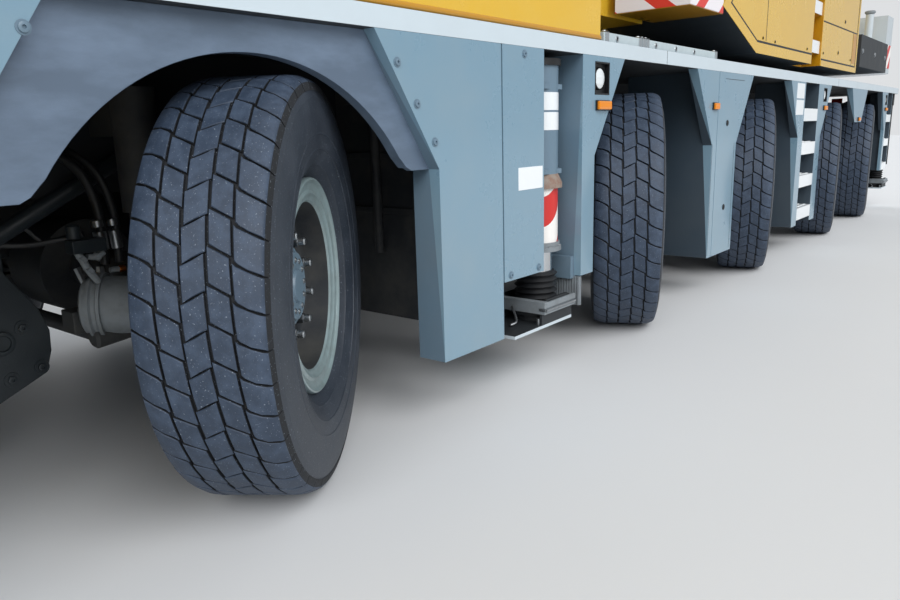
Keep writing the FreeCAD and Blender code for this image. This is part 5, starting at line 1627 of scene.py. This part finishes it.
@dataclass
class CabTrim:
    """Carrier cab: glass in rubber, wipers, mirrors, lamps, grille, handles, steps and blank plate."""

    front: float = 6.300
    face: float = 1.365
    sill: float = 1.560
    rake: float = 0.230 / 1.180
    # Inner and outer face of the side glass
    glass: tuple = (1.343, 1.349)
    # Corners of the door's pane and of its seal
    door_pane: tuple = ((4.955, 1.695), (5.745, 1.635), (5.745, 2.425), (5.625, 2.625), (4.955, 2.625))
    door_seal: tuple = ((4.960, 1.700), (5.740, 1.640), (5.740, 2.420), (5.620, 2.620), (4.960, 2.620))

    def slope(self, z: float) -> float:
        """X of the windscreen's outer face at a height."""
        return self.front - self.rake * (z - self.sill)

    def pane(self, form: Form, low: float, high: float, y0: float, y1: float, out: float, thick: float,
             finish: int) -> None:
        """Add a flat strip that lies in the windscreen's slope.

        Args:
            form: Form that gets it.
            low: Height of its lower edge.
            high: Height of its upper edge.
            y0: Its right edge.
            y1: Its left edge.
            out: How far its face stands off the windscreen's.
            thick: Its thickness.
            finish: Number of its finish.
        """
        outline = [(self.slope(low) + out - thick, low), (self.slope(low) + out, low),
                   (self.slope(high) + out, high), (self.slope(high) + out - thick, high)]
        form.prism(outline, Axis.Y, y0, y1, finish)

    def glaze(self) -> None:
        """Windscreen and quarter windows with their seals, and wipers."""
        form = Form()
        self.pane(form, 1.632, 2.668, -1.253, 1.253, -0.004, 0.006, 0)
        for low, high, y0, y1 in ((1.615, 1.650, -1.270, 1.270), (2.650, 2.685, -1.270, 1.270),
                                  (1.615, 2.685, -1.270, -1.235), (1.615, 2.685, 1.235, 1.270)):
            self.pane(form, low, high, y0, y1, 0.004, 0.014, 1)
        for side in (1, -1):
            form.block((5.885, side * self.glass[0], 1.695), (5.965, side * self.glass[1], 2.205), 0)
        sweep = -0.55
        for y in (0.75, -0.35):
            form.rod((self.slope(1.60) + 0.020, y, 1.600), (self.slope(2.15) + 0.020, y + sweep, 2.150), 0.008, 10, 1)
            form.rod((self.slope(1.72) + 0.014, y + sweep * 0.25, 1.72),
                     (self.slope(2.45) + 0.014, y + sweep * 1.5, 2.45), 0.006, 8, 1)
            form.lathe([(0, 0.022), (0.02, 0.020), (0.026, 0.012), (0.026, 0.0)],
                       (self.slope(1.6) + 0.002, y, 1.600), (1, 0, 0.1), 20, 1)
        form.piece("Cab_glass", "carrier", "cab_dark", [GLASS, BLACK])
        for side, word in SIDES:
            door = Form()
            y0, y1 = sorted(side * y for y in self.glass)
            door.prism(self.door_pane, Axis.Y, y0, y1, 0)
            ring = [(x, side * (self.face + 0.001), z) for x, z in self.door_seal]
            door.pipe(ring + [ring[0]], 0.010, 8, 1, 1)
            near, out = side * (self.face + 0.002), side * (self.face + 0.010)
            door.blocks((((4.90, side * self.face, 1.36), (5.08, side * (self.face + 0.004), 1.45), 1, 0.003),
                         ((4.915, near, 1.385), (5.065, out, 1.410), 1, 0.004),
                         ((4.90, near, 1.60), (4.915, out, 1.62), 1)))
            door.piece("Cab_door_trim_" + word, "cab_door_" + word, "cab_dark", [GLASS, BLACK])

    def lamps(self) -> None:
        """Headlamps in the bumper, indicators, roof lamps, blank plate and grille."""
        form = Form()
        for y in (1.068, 1.182, 0.860):
            spot = (self.front - 0.062, y, 0.480)
            form.lathe([(0, 0.0), (0.004, 0.020), (0.022, 0.040), (0.040, 0.046), (0.046, 0.046), (0.046, 0.042)],
                       spot, AHEAD, 32, 1)
            form.lathe([(0.038, 0.0455), (0.046, 0.036), (0.050, 0.018), (0.051, 0.0)], spot, AHEAD, 32, 2)
        form.block((self.front - 0.002, 1.262, 0.435), (self.front + 0.012, 1.345, 0.525), 0, 0.004)
        form.block((self.front + 0.008, 1.268, 0.441), (self.front + 0.022, 1.339, 0.519), 3, 0.006)
        form.block((6.02, self.face - 0.001, 0.96), (6.10, self.face + 0.008, 1.00), 3, 0.004)
        form.both()
        form.block((self.front - 0.03, -0.63, 0.87), (self.front - 0.024, 0.63, 1.24), 0)
        for number in range(12):
            y = -0.60 + number * 1.2 / 11
            form.block((self.front - 0.026, y - 0.003, 0.875), (self.front - 0.014, y + 0.003, 1.235), 0)
        form.block((self.front - 0.001, -0.27, 0.415), (self.front + 0.004, 0.27, 0.535), 4, 0.002)
        for y in (-0.9, -0.45, 0.0, 0.45, 0.9):
            form.block((5.985, y - 0.045, 2.849), (6.045, y + 0.045, 2.872), 3, 0.008)
        for side in (1, -1):
            beacon = (5.25, side * 0.95, 2.849)
            form.lathe([(0, 0.075), (0.02, 0.075), (0.022, 0.060)], beacon, UP, 28, 0)
            form.lathe([(0.020, 0.060), (0.085, 0.057), (0.100, 0.045), (0.104, 0.0)], beacon, UP, 28, 3)
        form.piece("Cab_lamps", "carrier", "cab_dark", [BLACK, CHROME, CLEAR, AMBER, WHITE])

    def fittings(self) -> None:
        """Mirrors on their arms, grab rails, entry steps, towing eyes and door seams."""
        form = Form()
        x = self.front
        form.pipe([(self.slope(2.52) - 0.02, 1.30, 2.52), (x + 0.12, 1.32, 2.50), (x + 0.16, 1.30, 2.42),
                   (x + 0.16, 1.30, 1.74), (x + 0.10, 1.32, 1.66), (x - 0.03, 1.30, 1.64)], 0.012, 12, 0, 4)
        for low, high in ((2.02, 2.38), (1.78, 1.97)):
            form.block((x + 0.110, 1.185, low), (x + 0.185, 1.362, high), 0, 0.018)
            form.block((x + 0.106, 1.200, low + 0.018), (x + 0.111, 1.348, high - 0.018), 1, 0.001)
        for z in (0.600, 0.740):
            form.block((4.98, self.face - 0.09, z), (5.60, self.face + 0.004, z + 0.020), 0, 0.003)
            for number in range(14):
                spot = 5.00 + number * 0.043
                form.block((spot, self.face - 0.085, z + 0.018), (spot + 0.02, self.face, z + 0.025), 2)
        form.lathe([(0, 0.045), (0.03, 0.042), (0.05, 0.030), (0.05, 0.016), (0, 0.016)], (x, 0.52, 0.485),
                   AHEAD, 24, 2)
        for s in (x - 0.45, 4.70):
            form.block((s - 0.0015, self.face - 0.001, 0.60), (s + 0.0015, self.face + 0.0006, 1.50), 0)
        form.block((x - 0.001, 0.66, 1.46), (x + 0.018, 1.10, 1.485), 0, 0.008)
        form.both()
        for z in (0.86, 1.30):
            form.block((x - 0.001, -1.20, z), (x + 0.0006, 1.20, z + 0.003), 0)
        form.piece("Cab_fittings", "carrier", "cab_dark", [BLACK, CHROME, GALVANISED])
        self.fit_inside()

    def fit_inside(self) -> None:
        """Head rests, cushions and the steering wheel on its column."""
        inside = Form()
        for y in (0.65, -0.65):
            inside.block((4.985, y - 0.24, 1.86), (5.06, y + 0.24, 2.16), 0, 0.03)
            inside.block((5.12, y - 0.25, 1.125), (5.60, y + 0.25, 1.165), 0, 0.03)
        hub = (5.80, 0.65, 1.50)
        steps = 28
        ring = []
        for i in range(steps + 1):
            angle = 2 * math.pi * i / steps
            ring.append((hub[0] - 0.10 * math.sin(angle), hub[1] + 0.22 * math.cos(angle),
                         hub[2] + 0.19 * math.sin(angle)))
        inside.pipe(ring, 0.014, 8, 0, 1)
        inside.rod((5.92, 0.65, 1.38), hub, 0.03, 16, 0)
        inside.piece("Cab_inside_trim", "carrier", "cab_dark", [CUSHION])

    def build(self) -> None:
        """Dress the cab."""
        self.glaze()
        self.lamps()
        self.fittings()


@dataclass
class UpperTrim:
    """Superstructure: border frames, seams, latches, step plates, rails, hoses and warning plates."""

    face: float = 1.360
    # Places behind the first axle and heights
    border: tuple = ((3.900, 2.150), (3.628, 1.900), (4.354, 1.655), (5.890, 1.655))
    rear_border: tuple = ((6.230, 1.655), (7.730, 1.655), (7.730, 2.390))
    latches: tuple = ((6.880, 1.807), (7.077, 2.110))
    screws: tuple = ((4.499, 1.767), (4.799, 1.761), (5.732, 1.770), (6.300, 1.770), (7.440, 1.770))
    rail: tuple = ((5.0, 2.45), (5.0, 2.70), (5.08, 2.75), (7.4, 2.75), (7.48, 2.70), (7.48, 2.45))

    def border_band(self, form: Form, points: tuple, width: float, rise: float, finish: int) -> None:
        """Raise a flat border along a line on the housing's face, mitred at its corners.

        Args:
            form: Form that gets it.
            points: Outer line: places behind the first axle and heights.
            width: Width of the border, to the inner side.
            rise: How far it stands off the face.
            finish: Number of its finish.
        """
        middle = Vector((back(5.6), 2.05))
        line = [Vector((back(s), z)) for s, z in points]
        sides = []
        for p, q in zip(line, line[1:]):
            run = (q - p).normalized()
            inward = Vector((-run.y, run.x))
            sides.append(inward if inward.dot(middle - p) > 0 else -inward)
        inner = [line[0] + sides[0] * width]
        for corner, one, two in zip(line[1:-1], sides, sides[1:]):
            mitre = (one + two).normalized()
            inner.append(corner + mitre * (width / mitre.dot(one)))
        inner.append(line[-1] + sides[-1] * width)
        for k in range(len(sides)):
            corners = (line[k], line[k + 1], inner[k + 1], inner[k])
            form.prism([(c.x, c.y) for c in corners], Axis.Y, self.face - 0.001, self.face + rise, finish)

    def flank(self) -> None:
        """Trim of the left housing, mirrored without the steps."""
        form = Form()
        for line, width in ((self.border, 0.090), (self.rear_border, 0.066)):
            self.border_band(form, line, width, 0.0008, 1)
            self.border_band(form, line, width - 0.016, 0.0030, 0)
        for s, low, high in ((4.575, 1.750, 2.149), (7.490, 1.722, 2.040)):
            form.block((back(s) - 0.005, self.face - 0.001, low), (back(s) + 0.005, self.face + 0.0006, high), 1)
        form.block((back(7.664), self.face - 0.001, 2.036), (back(6.230), self.face + 0.0007, 2.048), 1)
        form.block((back(7.660), self.face - 0.001, 1.740), (back(7.510), self.face + 0.0015, 2.030), 2, 0.001)
        for s, z in self.latches:
            form.latch((back(s), self.face, z), 0.017, 0.011, 1)
        for s, z in self.screws:
            form.bolt((back(s), self.face, z), LEFT, 0.009, 1)
        form.both()
        form.piece("Upper_flank_trim", "superstructure", "crane_yellow", [YELLOW, BLACK, DEEP_YELLOW_AND_SHADE])
        steps = Form()
        for z in (1.805, 2.135):
            steps.block((back(6.215), self.face - 0.158, z), (back(5.905), self.face - 0.018, z + 0.003), 0, 0.001)
            steps.block((back(6.215), self.face - 0.020, z - 0.045),
                        (back(5.905), self.face - 0.016, z + 0.062), 0, 0.001)
            for i in range(6):
                for row in (0.06, 0.115):
                    steps.stud((back(5.93 + 0.052 * i), self.face - row, z + 0.003), 0.012)
        steps.piece("Upper_steps", "superstructure", "crane_yellow", [WHITE])
        base = Form()
        base.block((back(3.650), 0.875, 1.852), (back(3.100), self.face, 2.152), 0, 0.004)
        # A deeper yellow sliver along the base's underside: painted shade
        base.block((back(3.648), 0.880, 1.849), (back(3.104), self.face - 0.005, 1.853), 1)
        base.piece("Operator_cab_base", "superstructure", "crane_yellow", [WIDE_TAPE, DEEP_YELLOW_AND_SHADE])

    def top(self) -> None:
        """Hand rails and hose bundles on top of the housings, and the slew ring's bolts."""
        form = Form()
        for y in (1.20, -1.20):
            form.pipe([(back(s), y, z) for s, z in self.rail], 0.016, 12, 0, 3)
            form.rod((back(6.2), y, 2.45), (back(6.2), y, 2.75), 0.014, 12, 0)
        for shift in (0.0, 0.045, 0.09):
            form.pipe([(back(5.2), 0.60 + shift, 2.455), (back(6.4), 0.62 + shift, 2.462),
                       (back(7.6), 0.58 + shift, 2.47), (back(8.0), 0.53 + shift * 0.3, 2.40),
                       (back(8.2), 0.505, 2.2 - shift)], 0.018, 10, 1, 5)
        for side in (1, -1):
            for s, z, size in ((9.0, 3.0, 0.055), (7.6, 1.9, 0.048)):
                form.lathe([(0, size * 1.7), (0.012, size * 1.65), (0.016, size * 1.5), (0.016, 0.0)],
                           (back(s), side * 0.480, z), (0, side, 0), 32, 0)
                for k in range(4):
                    angle = math.pi * (k + 0.5) / 2
                    out = size * 1.3
                    form.bolt((back(s) + out * math.cos(angle), side * 0.496, z + out * math.sin(angle)),
                              (0, side, 0), 0.010, 2)
        form.piece("Upper_top_trim", "superstructure", "crane_yellow", [YELLOW, HOSE, ZINC])

    def ballast(self) -> None:
        """Warning plates, lifting eyes and joints of the ballast."""
        form = Form()
        rear = back(10.2)
        for side in (1, -1):
            form.block((rear - 0.004, side * 0.70, 1.80), (rear + 0.001, side * 1.04, 2.08), 0, 0.001)
            form.block((back(9.96), side * 1.314, 1.80), (back(9.66), side * 1.319, 2.08), 0, 0.001)
            for s in (8.35, 9.35):
                form.lathe([(0, 0.075), (0.012, 0.072), (0.012, 0.048)], (back(s), side * 1.155, 2.080), UP, 28, 1)
                form.lathe([(0, 0.040), (0.02, 0.060), (0.035, 0.060), (0.045, 0.050), (0.045, 0.0)],
                           (back(s), side * 1.155, 2.420), UP, 28, 1)
            for s in (8.2, 8.9, 9.55):
                form.bolt((back(s), side * 1.325, 1.91), (0, side, 0), 0.022, 2)
            form.lathe([(0, 0.05), (0.03, 0.05), (0.05, 0.035), (0.05, 0.018), (0, 0.018)],
                       (back(9.85), side * 0.8, 2.42), UP, 24, 2)
        form.block((rear - 0.0008, -1.05, 2.155), (rear + 0.001, 1.05, 2.160), 1)
        form.piece("Ballast_trim", "superstructure", "ballast_grey", [TAPE, GREY_CASTING, ZINC])

    def build(self) -> None:
        """Dress the superstructure."""
        self.flank()
        self.top()
        self.ballast()


@dataclass
class OperatorCabTrim:
    """Operator's cab: panes with seals, wiper, seat, levers, lamps and the sliding door's glass."""

    inner: float = 0.500
    outer: float = 1.360
    # Corners of the windscreen's face, of the door's pane and of its seal
    windscreen: tuple = ((0.462, 2.245), (0.582, 2.700), (0.377, 3.555))
    door_pane: tuple = ((-0.345, 2.495), (-0.305, 2.445), (0.185, 2.445), (0.225, 2.495), (0.225, 3.515),
                        (0.165, 3.575), (-0.345, 3.575))
    door_seal: tuple = ((-0.340, 2.500), (-0.300, 2.450), (0.180, 2.450), (0.220, 2.500), (0.220, 3.510),
                        (0.160, 3.570), (-0.340, 3.570))

    def build(self) -> None:
        """Dress the cab and its door."""
        form = Form()
        for low, high in zip(self.windscreen, self.windscreen[1:]):
            outline = [(low[0] - 0.010, low[1]), (low[0] - 0.004, low[1]), (high[0] - 0.004, high[1]),
                       (high[0] - 0.010, high[1])]
            form.prism(outline, Axis.Y, self.inner + 0.065, self.outer - 0.065, 0)
        form.block((-0.385, self.inner + 0.018, 2.395), (0.275, self.inner + 0.024, 3.585), 0)
        for y in (self.inner + 0.018, self.outer - 0.024):
            form.block((-0.905, y, 2.595), (-0.485, y + 0.006, 3.585), 0)
        form.block((-0.984, 0.615, 2.595), (-0.978, 1.245, 3.565), 0)
        form.rod((0.60, 1.10, 2.66), (0.47, 0.86, 3.20), 0.007, 8, 1)
        form.rod((0.52, 0.95, 3.00), (0.42, 0.80, 3.42), 0.006, 8, 1)
        for y in (0.62, 1.24):
            form.block((0.36, y - 0.06, 3.60), (0.42, y + 0.06, 3.68), 1, 0.008)
            form.lathe([(0, 0.045), (0.006, 0.044), (0.010, 0.030), (0.011, 0.0)], (0.42, y, 3.64), AHEAD, 24, 2)
        form.block((0.44, self.inner - 0.001, 2.20), (0.50, self.outer + 0.004, 2.235), 1, 0.006)
        form.block((-0.60, 0.68, 2.20), (-0.10, 1.20, 2.62), 3, 0.04)
        form.block((-0.70, 0.70, 2.60), (-0.56, 1.18, 3.30), 3, 0.05)
        form.block((-0.66, 0.80, 3.28), (-0.58, 1.08, 3.48), 3, 0.04)
        for y in (0.62, 1.26):
            form.block((-0.45, y - 0.05, 2.62), (0.02, y + 0.05, 2.74), 3, 0.03)
            form.rod((-0.02, y, 2.73), (0.00, y, 2.86), 0.012, 12, 1)
            form.lathe([(0, 0.012), (0.03, 0.024), (0.06, 0.024), (0.08, 0.012), (0.082, 0)],
                       (0.0, y, 2.85), UP, 16, 1)
        form.block((0.16, 1.02, 2.55), (0.20, 1.26, 2.78), 1, 0.01)
        form.piece("Operator_cab_trim", "superstructure", "cab_dark", [GLASS, BLACK, CLEAR, CUSHION])
        door = Form()
        door.prism(self.door_pane, Axis.Y, self.outer + 0.018, self.outer + 0.024, 0)
        ring = [(x, self.outer + 0.0365, z) for x, z in self.door_seal]
        door.pipe(ring + [ring[0]], 0.008, 8, 1, 1)
        door.pipe([(-0.365, self.outer + 0.034, 2.62), (-0.365, self.outer + 0.062, 2.64),
                   (-0.365, self.outer + 0.062, 2.98), (-0.365, self.outer + 0.034, 3.00)], 0.009, 10, 1, 3)
        door.piece("Operator_door_trim", "operator_door", "cab_dark", [GLASS, BLACK])


@dataclass
class BoomTrim:
    """Boom: weld seams, collar bolts, wear-pad covers, pipes and head fittings."""

    half: float = 0.360
    collar: float = 0.384

    def build(self) -> None:
        """Dress the base section and the head of the last sliding section."""
        form = Form()
        front, rear = back(-2.65), back(9.35)
        inside = self.half - 0.001
        for side in (1, -1):
            for z in (3.210, 3.710):
                form.block((rear + 0.05, side * inside, z - 0.004),
                           (front - 0.10, side * (self.half + 0.003), z + 0.004), 0, 0.001)
            for z in (3.25, 3.40, 3.55, 3.68):
                form.bolt((front - 0.035, side * self.collar, z), (0, side, 0), 0.012, 1)
            for s in (0.2, 3.4, 6.6):
                form.block((back(s) - 0.012, side * inside, 3.215),
                           (back(s) + 0.012, side * (self.half + 0.010), 3.705), 0, 0.003)
        for shift in (0.0, 0.05):
            form.pipe([(back(8.6), -0.375, 3.42 + shift), (back(4.0), -0.375, 3.42 + shift),
                       (back(-2.2), -0.375, 3.42 + shift)], 0.012, 8, 2, 2)
        for s in (7.8, 6.2, 4.6, 3.0, 1.4, -0.2, -1.8):
            form.block((back(s) - 0.015, -0.392, 3.40), (back(s) + 0.015, -0.359, 3.49), 0, 0.003)
        form.piece("Boom_base_trim", "boom_base", "boom_yellow", [YELLOW, ZINC, HOSE])
        head = Form()
        nose = back(-3.300)
        for side in (1, -1):
            for z, size in ((3.06, 0.075), (3.56, 0.075), (3.31, 0.05)):
                x = nose - (0.170 if size > 0.06 else 0.110)
                head.lathe([(0, size), (0.010, size), (0.014, size * 0.9), (0.014, 0.0)], (x, side * 0.240, z),
                           (0, side, 0), 28, 0)
                for k in range(3):
                    angle = 2 * math.pi * k / 3
                    head.bolt((x + size * 0.6 * math.cos(angle), side * 0.254, z + size * 0.6 * math.sin(angle)),
                              (0, side, 0), 0.009, 1)
            head.block((nose - 0.36, side * 0.22 - 0.03, 3.70), (nose - 0.22, side * 0.22 + 0.03, 3.755), 2, 0.01)
        head.piece("Boom_head_trim", "boom_section_3", "boom_yellow", [GREY_CASTING, ZINC, BLACK])


@dataclass
class RearTrim:
    """Rear of the carrier: lamp clusters, blank plate, reflectors, stand pipes and a round fitting in the middle."""

    rear: float = -6.900

    def build(self) -> None:
        """Dress the rear end."""
        form = Form()
        x = self.rear
        form.block((x + 0.012, 0.80, 1.345), (x + 0.090, 1.340, 1.494), 0, 0.006)
        for start, finish in ((0.815, 3), (0.990, 1), (1.165, 2)):
            form.block((x + 0.002, start, 1.362), (x + 0.016, start + 0.158, 1.478), finish, 0.006)
        form.block((x + 0.010, 0.56, 1.40), (x + 0.018, 0.70, 1.47), 1, 0.003)
        form.rod((back(10.455), 1.315, 0.560), (back(10.455), 1.315, DECK_BOTTOM), 0.019, 16, 0)
        form.both()
        form.block((back(10.440) - 0.006, -0.27, 1.30), (back(10.440) + 0.001, 0.27, 1.42), 4, 0.002)
        form.lathe([(0, 0.06), (0.05, 0.06), (0.07, 0.045), (0.07, 0.022), (0, 0.022)], (back(10.44), 0.0, 1.12),
                   (-1, 0, 0), 28, 5)
        form.piece("Rear_trim", "carrier", "deck_grey", [BLACK, RED, AMBER, CLEAR, WHITE, GREY_CASTING])


# Cosine between a zone's facing and a face that still counts as looking that way
FACES_ALIKE = 0.9


@dataclass(frozen=True)
class Zone:
    """Faces of some CAD nodes that take a finish of their own, by where they lie and which way they look.

    A face belongs to a zone when its middle lies in the box. With a facing it must also look that way;
    with inward set it must look towards the middle of the box, as the inside of a room does.
    """

    start: str
    finish: Finish
    low: Point = (-9.0, -9.0, -9.0)
    high: Point = (9.0, 9.0, 9.0)
    facing: Point | None = None
    inward: bool = False

    def holds(self, middle: Vector, normal: Vector) -> bool:
        """Whether a face belongs to the zone.

        Args:
            middle: Middle of the face.
            normal: Its normal.

        Returns:
            True when it does.
        """
        if not all(a <= m <= b for a, m, b in zip(self.low, middle, self.high)):
            return False
        if self.facing and normal.dot(Vector(self.facing)) < FACES_ALIKE:
            return False
        heart = (Vector(self.low) + Vector(self.high)) / 2
        return not self.inward or normal.dot(heart - middle) > 0


NODE_FINISHES = {
    "carrier_frame": FRAME_PAINT_AND_SHADE, "axles": AXLE_PAINT, "deck": STRIP, "side_panels": PANEL, "fenders": FENDER,
    "engine_cover": YELLOW, "engine": AXLE_PAINT, "cab_shell": YELLOW, "cab_interior": CUSHION,
    "cab_door": YELLOW, "knuckle": AXLE_PAINT, "outrigger_beam": DARK_PANEL_AND_SHADE, "outrigger_jack": CHROME,
    "turntable": YELLOW, "housings": YELLOW, "counterweight": BALLAST, "operator_cab": YELLOW,
    "operator_door": YELLOW, "boom": YELLOW, "luff_barrel": YELLOW, "luff_rod": CHROME,
    "tyre": TREAD, "rim": RIM_PAINT,
}
ZONES = (
    Zone("outrigger_beam", GREY_CASTING, high=(9.0, 9.0, 0.644)),
    Zone("outrigger_beam", TAPE, (-9.0, -9.0, 0.645), (9.0, 9.0, 0.894)),
    Zone("outrigger_beam", RUSTY, (-9.0, -9.0, 0.894), (9.0, 9.0, 0.959)),
    Zone("outrigger_beam", BLACK, (-9.0, -9.0, 1.435)),
    Zone("outrigger_jack", HOSE, (-9.0, -9.0, 0.361), (9.0, 9.0, 0.505)),
    # Painted shade: dark on the foot's frame below its grey rim, where the open gap lies in shade
    Zone("outrigger_jack", FRAME_PAINT_AND_SHADE, (-9.0, -9.0, 0.271), (9.0, 9.0, 0.361)),
    Zone("outrigger_jack", STRIP, high=(9.0, 9.0, 0.271)),
    Zone("outrigger_jack", FRAME_PAINT_AND_SHADE, high=(9.0, 9.0, 0.271), facing=UP),
    Zone("turntable", FRAME_PAINT_AND_SHADE, high=(9.0, 9.0, 1.76)),
    Zone("turntable", GREY_CASTING, (-5.99, -0.425, 1.80), (-5.39, 0.425, 2.40)),
    Zone("turntable", YELLOW, (-0.015, -0.83, 1.84), (0.60, 0.83, 2.10)),
    # Painted shade: deeper yellow on the downward faces of the turntable's front block
    Zone("turntable", DEEP_YELLOW_AND_SHADE, (-0.015, -0.83, 1.80), (0.60, 0.83, 2.10), facing=DOWN),
    Zone("deck", DARK_PANEL_AND_SHADE, (-9.0, -9.0, 1.56), facing=UP),
    Zone("deck", LADDER, (-9.0, -9.0, 1.569)),
    # Painted shade: dark on the deck's underside
    Zone("deck", FRAME_PAINT_AND_SHADE, (-9.0, -9.0, 1.48), (9.0, 9.0, 1.50), facing=DOWN),
    Zone("deck", STEP, high=(9.0, 9.0, 1.48)),
    # Painted shade: darker blue-grey on the side panels' inner and recess faces
    Zone("side_panels", DARK_PANEL_AND_SHADE, (-9.0, -1.345, -9.0), (9.0, 1.345, 9.0)),
    # Painted shade: near-black on the inner faces behind the front jack, inside the wheel arches
    Zone("side_panels", ARCH_SHADE, (-9.0, -1.345, -9.0), (back(2.10), 1.345, 9.0)),
    Zone("side_panels", BLACK, (back(2.069), -1.372, 1.316), (back(1.919), 1.372, 1.471)),
    Zone("side_panels", BLACK, (back(6.513), -1.372, 1.339), (back(6.389), 1.372, 1.467)),
    Zone("side_panels", BLACK, (back(9.716), -1.372, 1.339), (back(9.599), 1.372, 1.467)),
    # Painted shade: deeper yellow on the cover's lower lip
    Zone("engine_cover", DEEP_YELLOW_AND_SHADE, high=(9.0, 9.0, 1.598)),
    # Painted shade: dark on the faces inside the cover
    Zone("engine_cover", FRAME_PAINT_AND_SHADE, (back(1.99), -1.34, 1.50), (back(-0.89), 1.34, 2.45), inward=True),
    Zone("cab_shell", PANEL, high=(9.0, 9.0, 0.572)),
    Zone("cab_shell", BLACK, (6.20, -1.26, 0.42), (6.299, 1.26, 0.55)),
    Zone("cab_shell", CUSHION, (4.57, -1.34, 0.58), (6.28, 1.34, 2.84), inward=True),
    Zone("cab_door", CUSHION, (-9.0, -1.33, -9.0), (9.0, 1.33, 9.0)),
    Zone("cab_interior", BLACK, (5.85, -9.0, -9.0)),
    # Painted shade: dark on the housings' slanted and flat undersides
    Zone("housings", FRAME_PAINT_AND_SHADE, high=(9.0, 9.0, 1.90), facing=(0.32, 0.0, -0.947)),
    Zone("housings", FRAME_PAINT_AND_SHADE, high=(9.0, 9.0, 1.66), facing=DOWN),
    # Painted shade: deeper yellow in the housing's step recess
    Zone("housings", DEEP_YELLOW_AND_SHADE, (back(6.225), 1.15, 1.60), (back(5.895), 1.355, 2.34)),
    Zone("operator_cab", CUSHION, (-0.98, 0.51, 2.16), (0.58, 1.35, 3.69), inward=True),
    Zone("operator_door", CUSHION, (-9.0, -9.0, -9.0), (9.0, 1.367, 9.0)),
    Zone("counterweight", FRAME_PAINT_AND_SHADE, (-5.99, -9.0, 1.70), (9.0, 9.0, 2.075)),
    # Painted shade: dark on the faces inside the boom's base section
    Zone("boom_base", FRAME_PAINT_AND_SHADE, (-6.0, -0.35, 2.96), (6.2, 0.35, 3.74), inward=True),
    Zone("boom_section_3", GREY_CASTING, (6.55, -0.19, 2.88), (6.90, 0.19, 3.74)),
)


def dress_nodes(frame: dict) -> None:
    """Give every CAD node that still shows its finishes and softened edges.
    """
    for name, piece in frame["nodes"].items():
        start = max((key for key in NODE_FINISHES if name.startswith(key)), key=len)
        zones = [zone for zone in ZONES if name.startswith(zone.start)]
        palette = [NODE_FINISHES[start]] + [zone.finish for zone in zones]
        piece.data.materials.clear()
        for finish in palette:
            piece.data.materials.append(finish.material())
        for polygon in piece.data.polygons:
            middle = piece.matrix_world @ polygon.center
            normal = piece.matrix_world.to_3x3() @ polygon.normal
            polygon.material_index = 0
            for number, zone in enumerate(zones, start=1):
                if zone.holds(middle, normal):
                    polygon.material_index = number
        if start not in ("tyre", "rim"):
            soften(piece)


def soften(piece: bpy.types.Object) -> None:
    """Round a CAD node's sharp edges by a few millimetres.

    Args:
        piece: Blender's object of the node.
    """
    weld = piece.modifiers.new("Weld", "WELD")
    weld.merge_threshold = 0.00005
    bevel = piece.modifiers.new("Softened edges", "BEVEL")
    bevel.width = 0.003
    bevel.segments = 2
    bevel.limit_method = "ANGLE"
    bevel.angle_limit = math.radians(35)
    weighted = piece.modifiers.new("Weighted normals", "WEIGHTED_NORMAL")
    weighted.keep_sharp = True


def main() -> None:
    """Load the frame and build every sub-assembly round it."""
    logging.basicConfig(level=logging.INFO, format="%(name)s: %(message)s")
    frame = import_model()
    Studio().build()
    dress_nodes(frame)
    jacks = [Jack("front", "left", 1.630), Jack("front", "right", 1.316), Jack("rear", "left", 10.240),
             Jack("rear", "right", 9.926)]
    assemblies = [Tyre(), Rim(), FlankTrim(), StepTrim(), DeckTrim(), ArchTrim(), RunningGear(), Underside(),
                  CoverTrim(), CabTrim(), UpperTrim(), OperatorCabTrim(), BoomTrim(), RearTrim()]
    for assembly in jacks + assemblies:
        assembly.build()
        LOG.info("%s built", type(assembly).__name__)


if __name__ == "__main__":
    main()
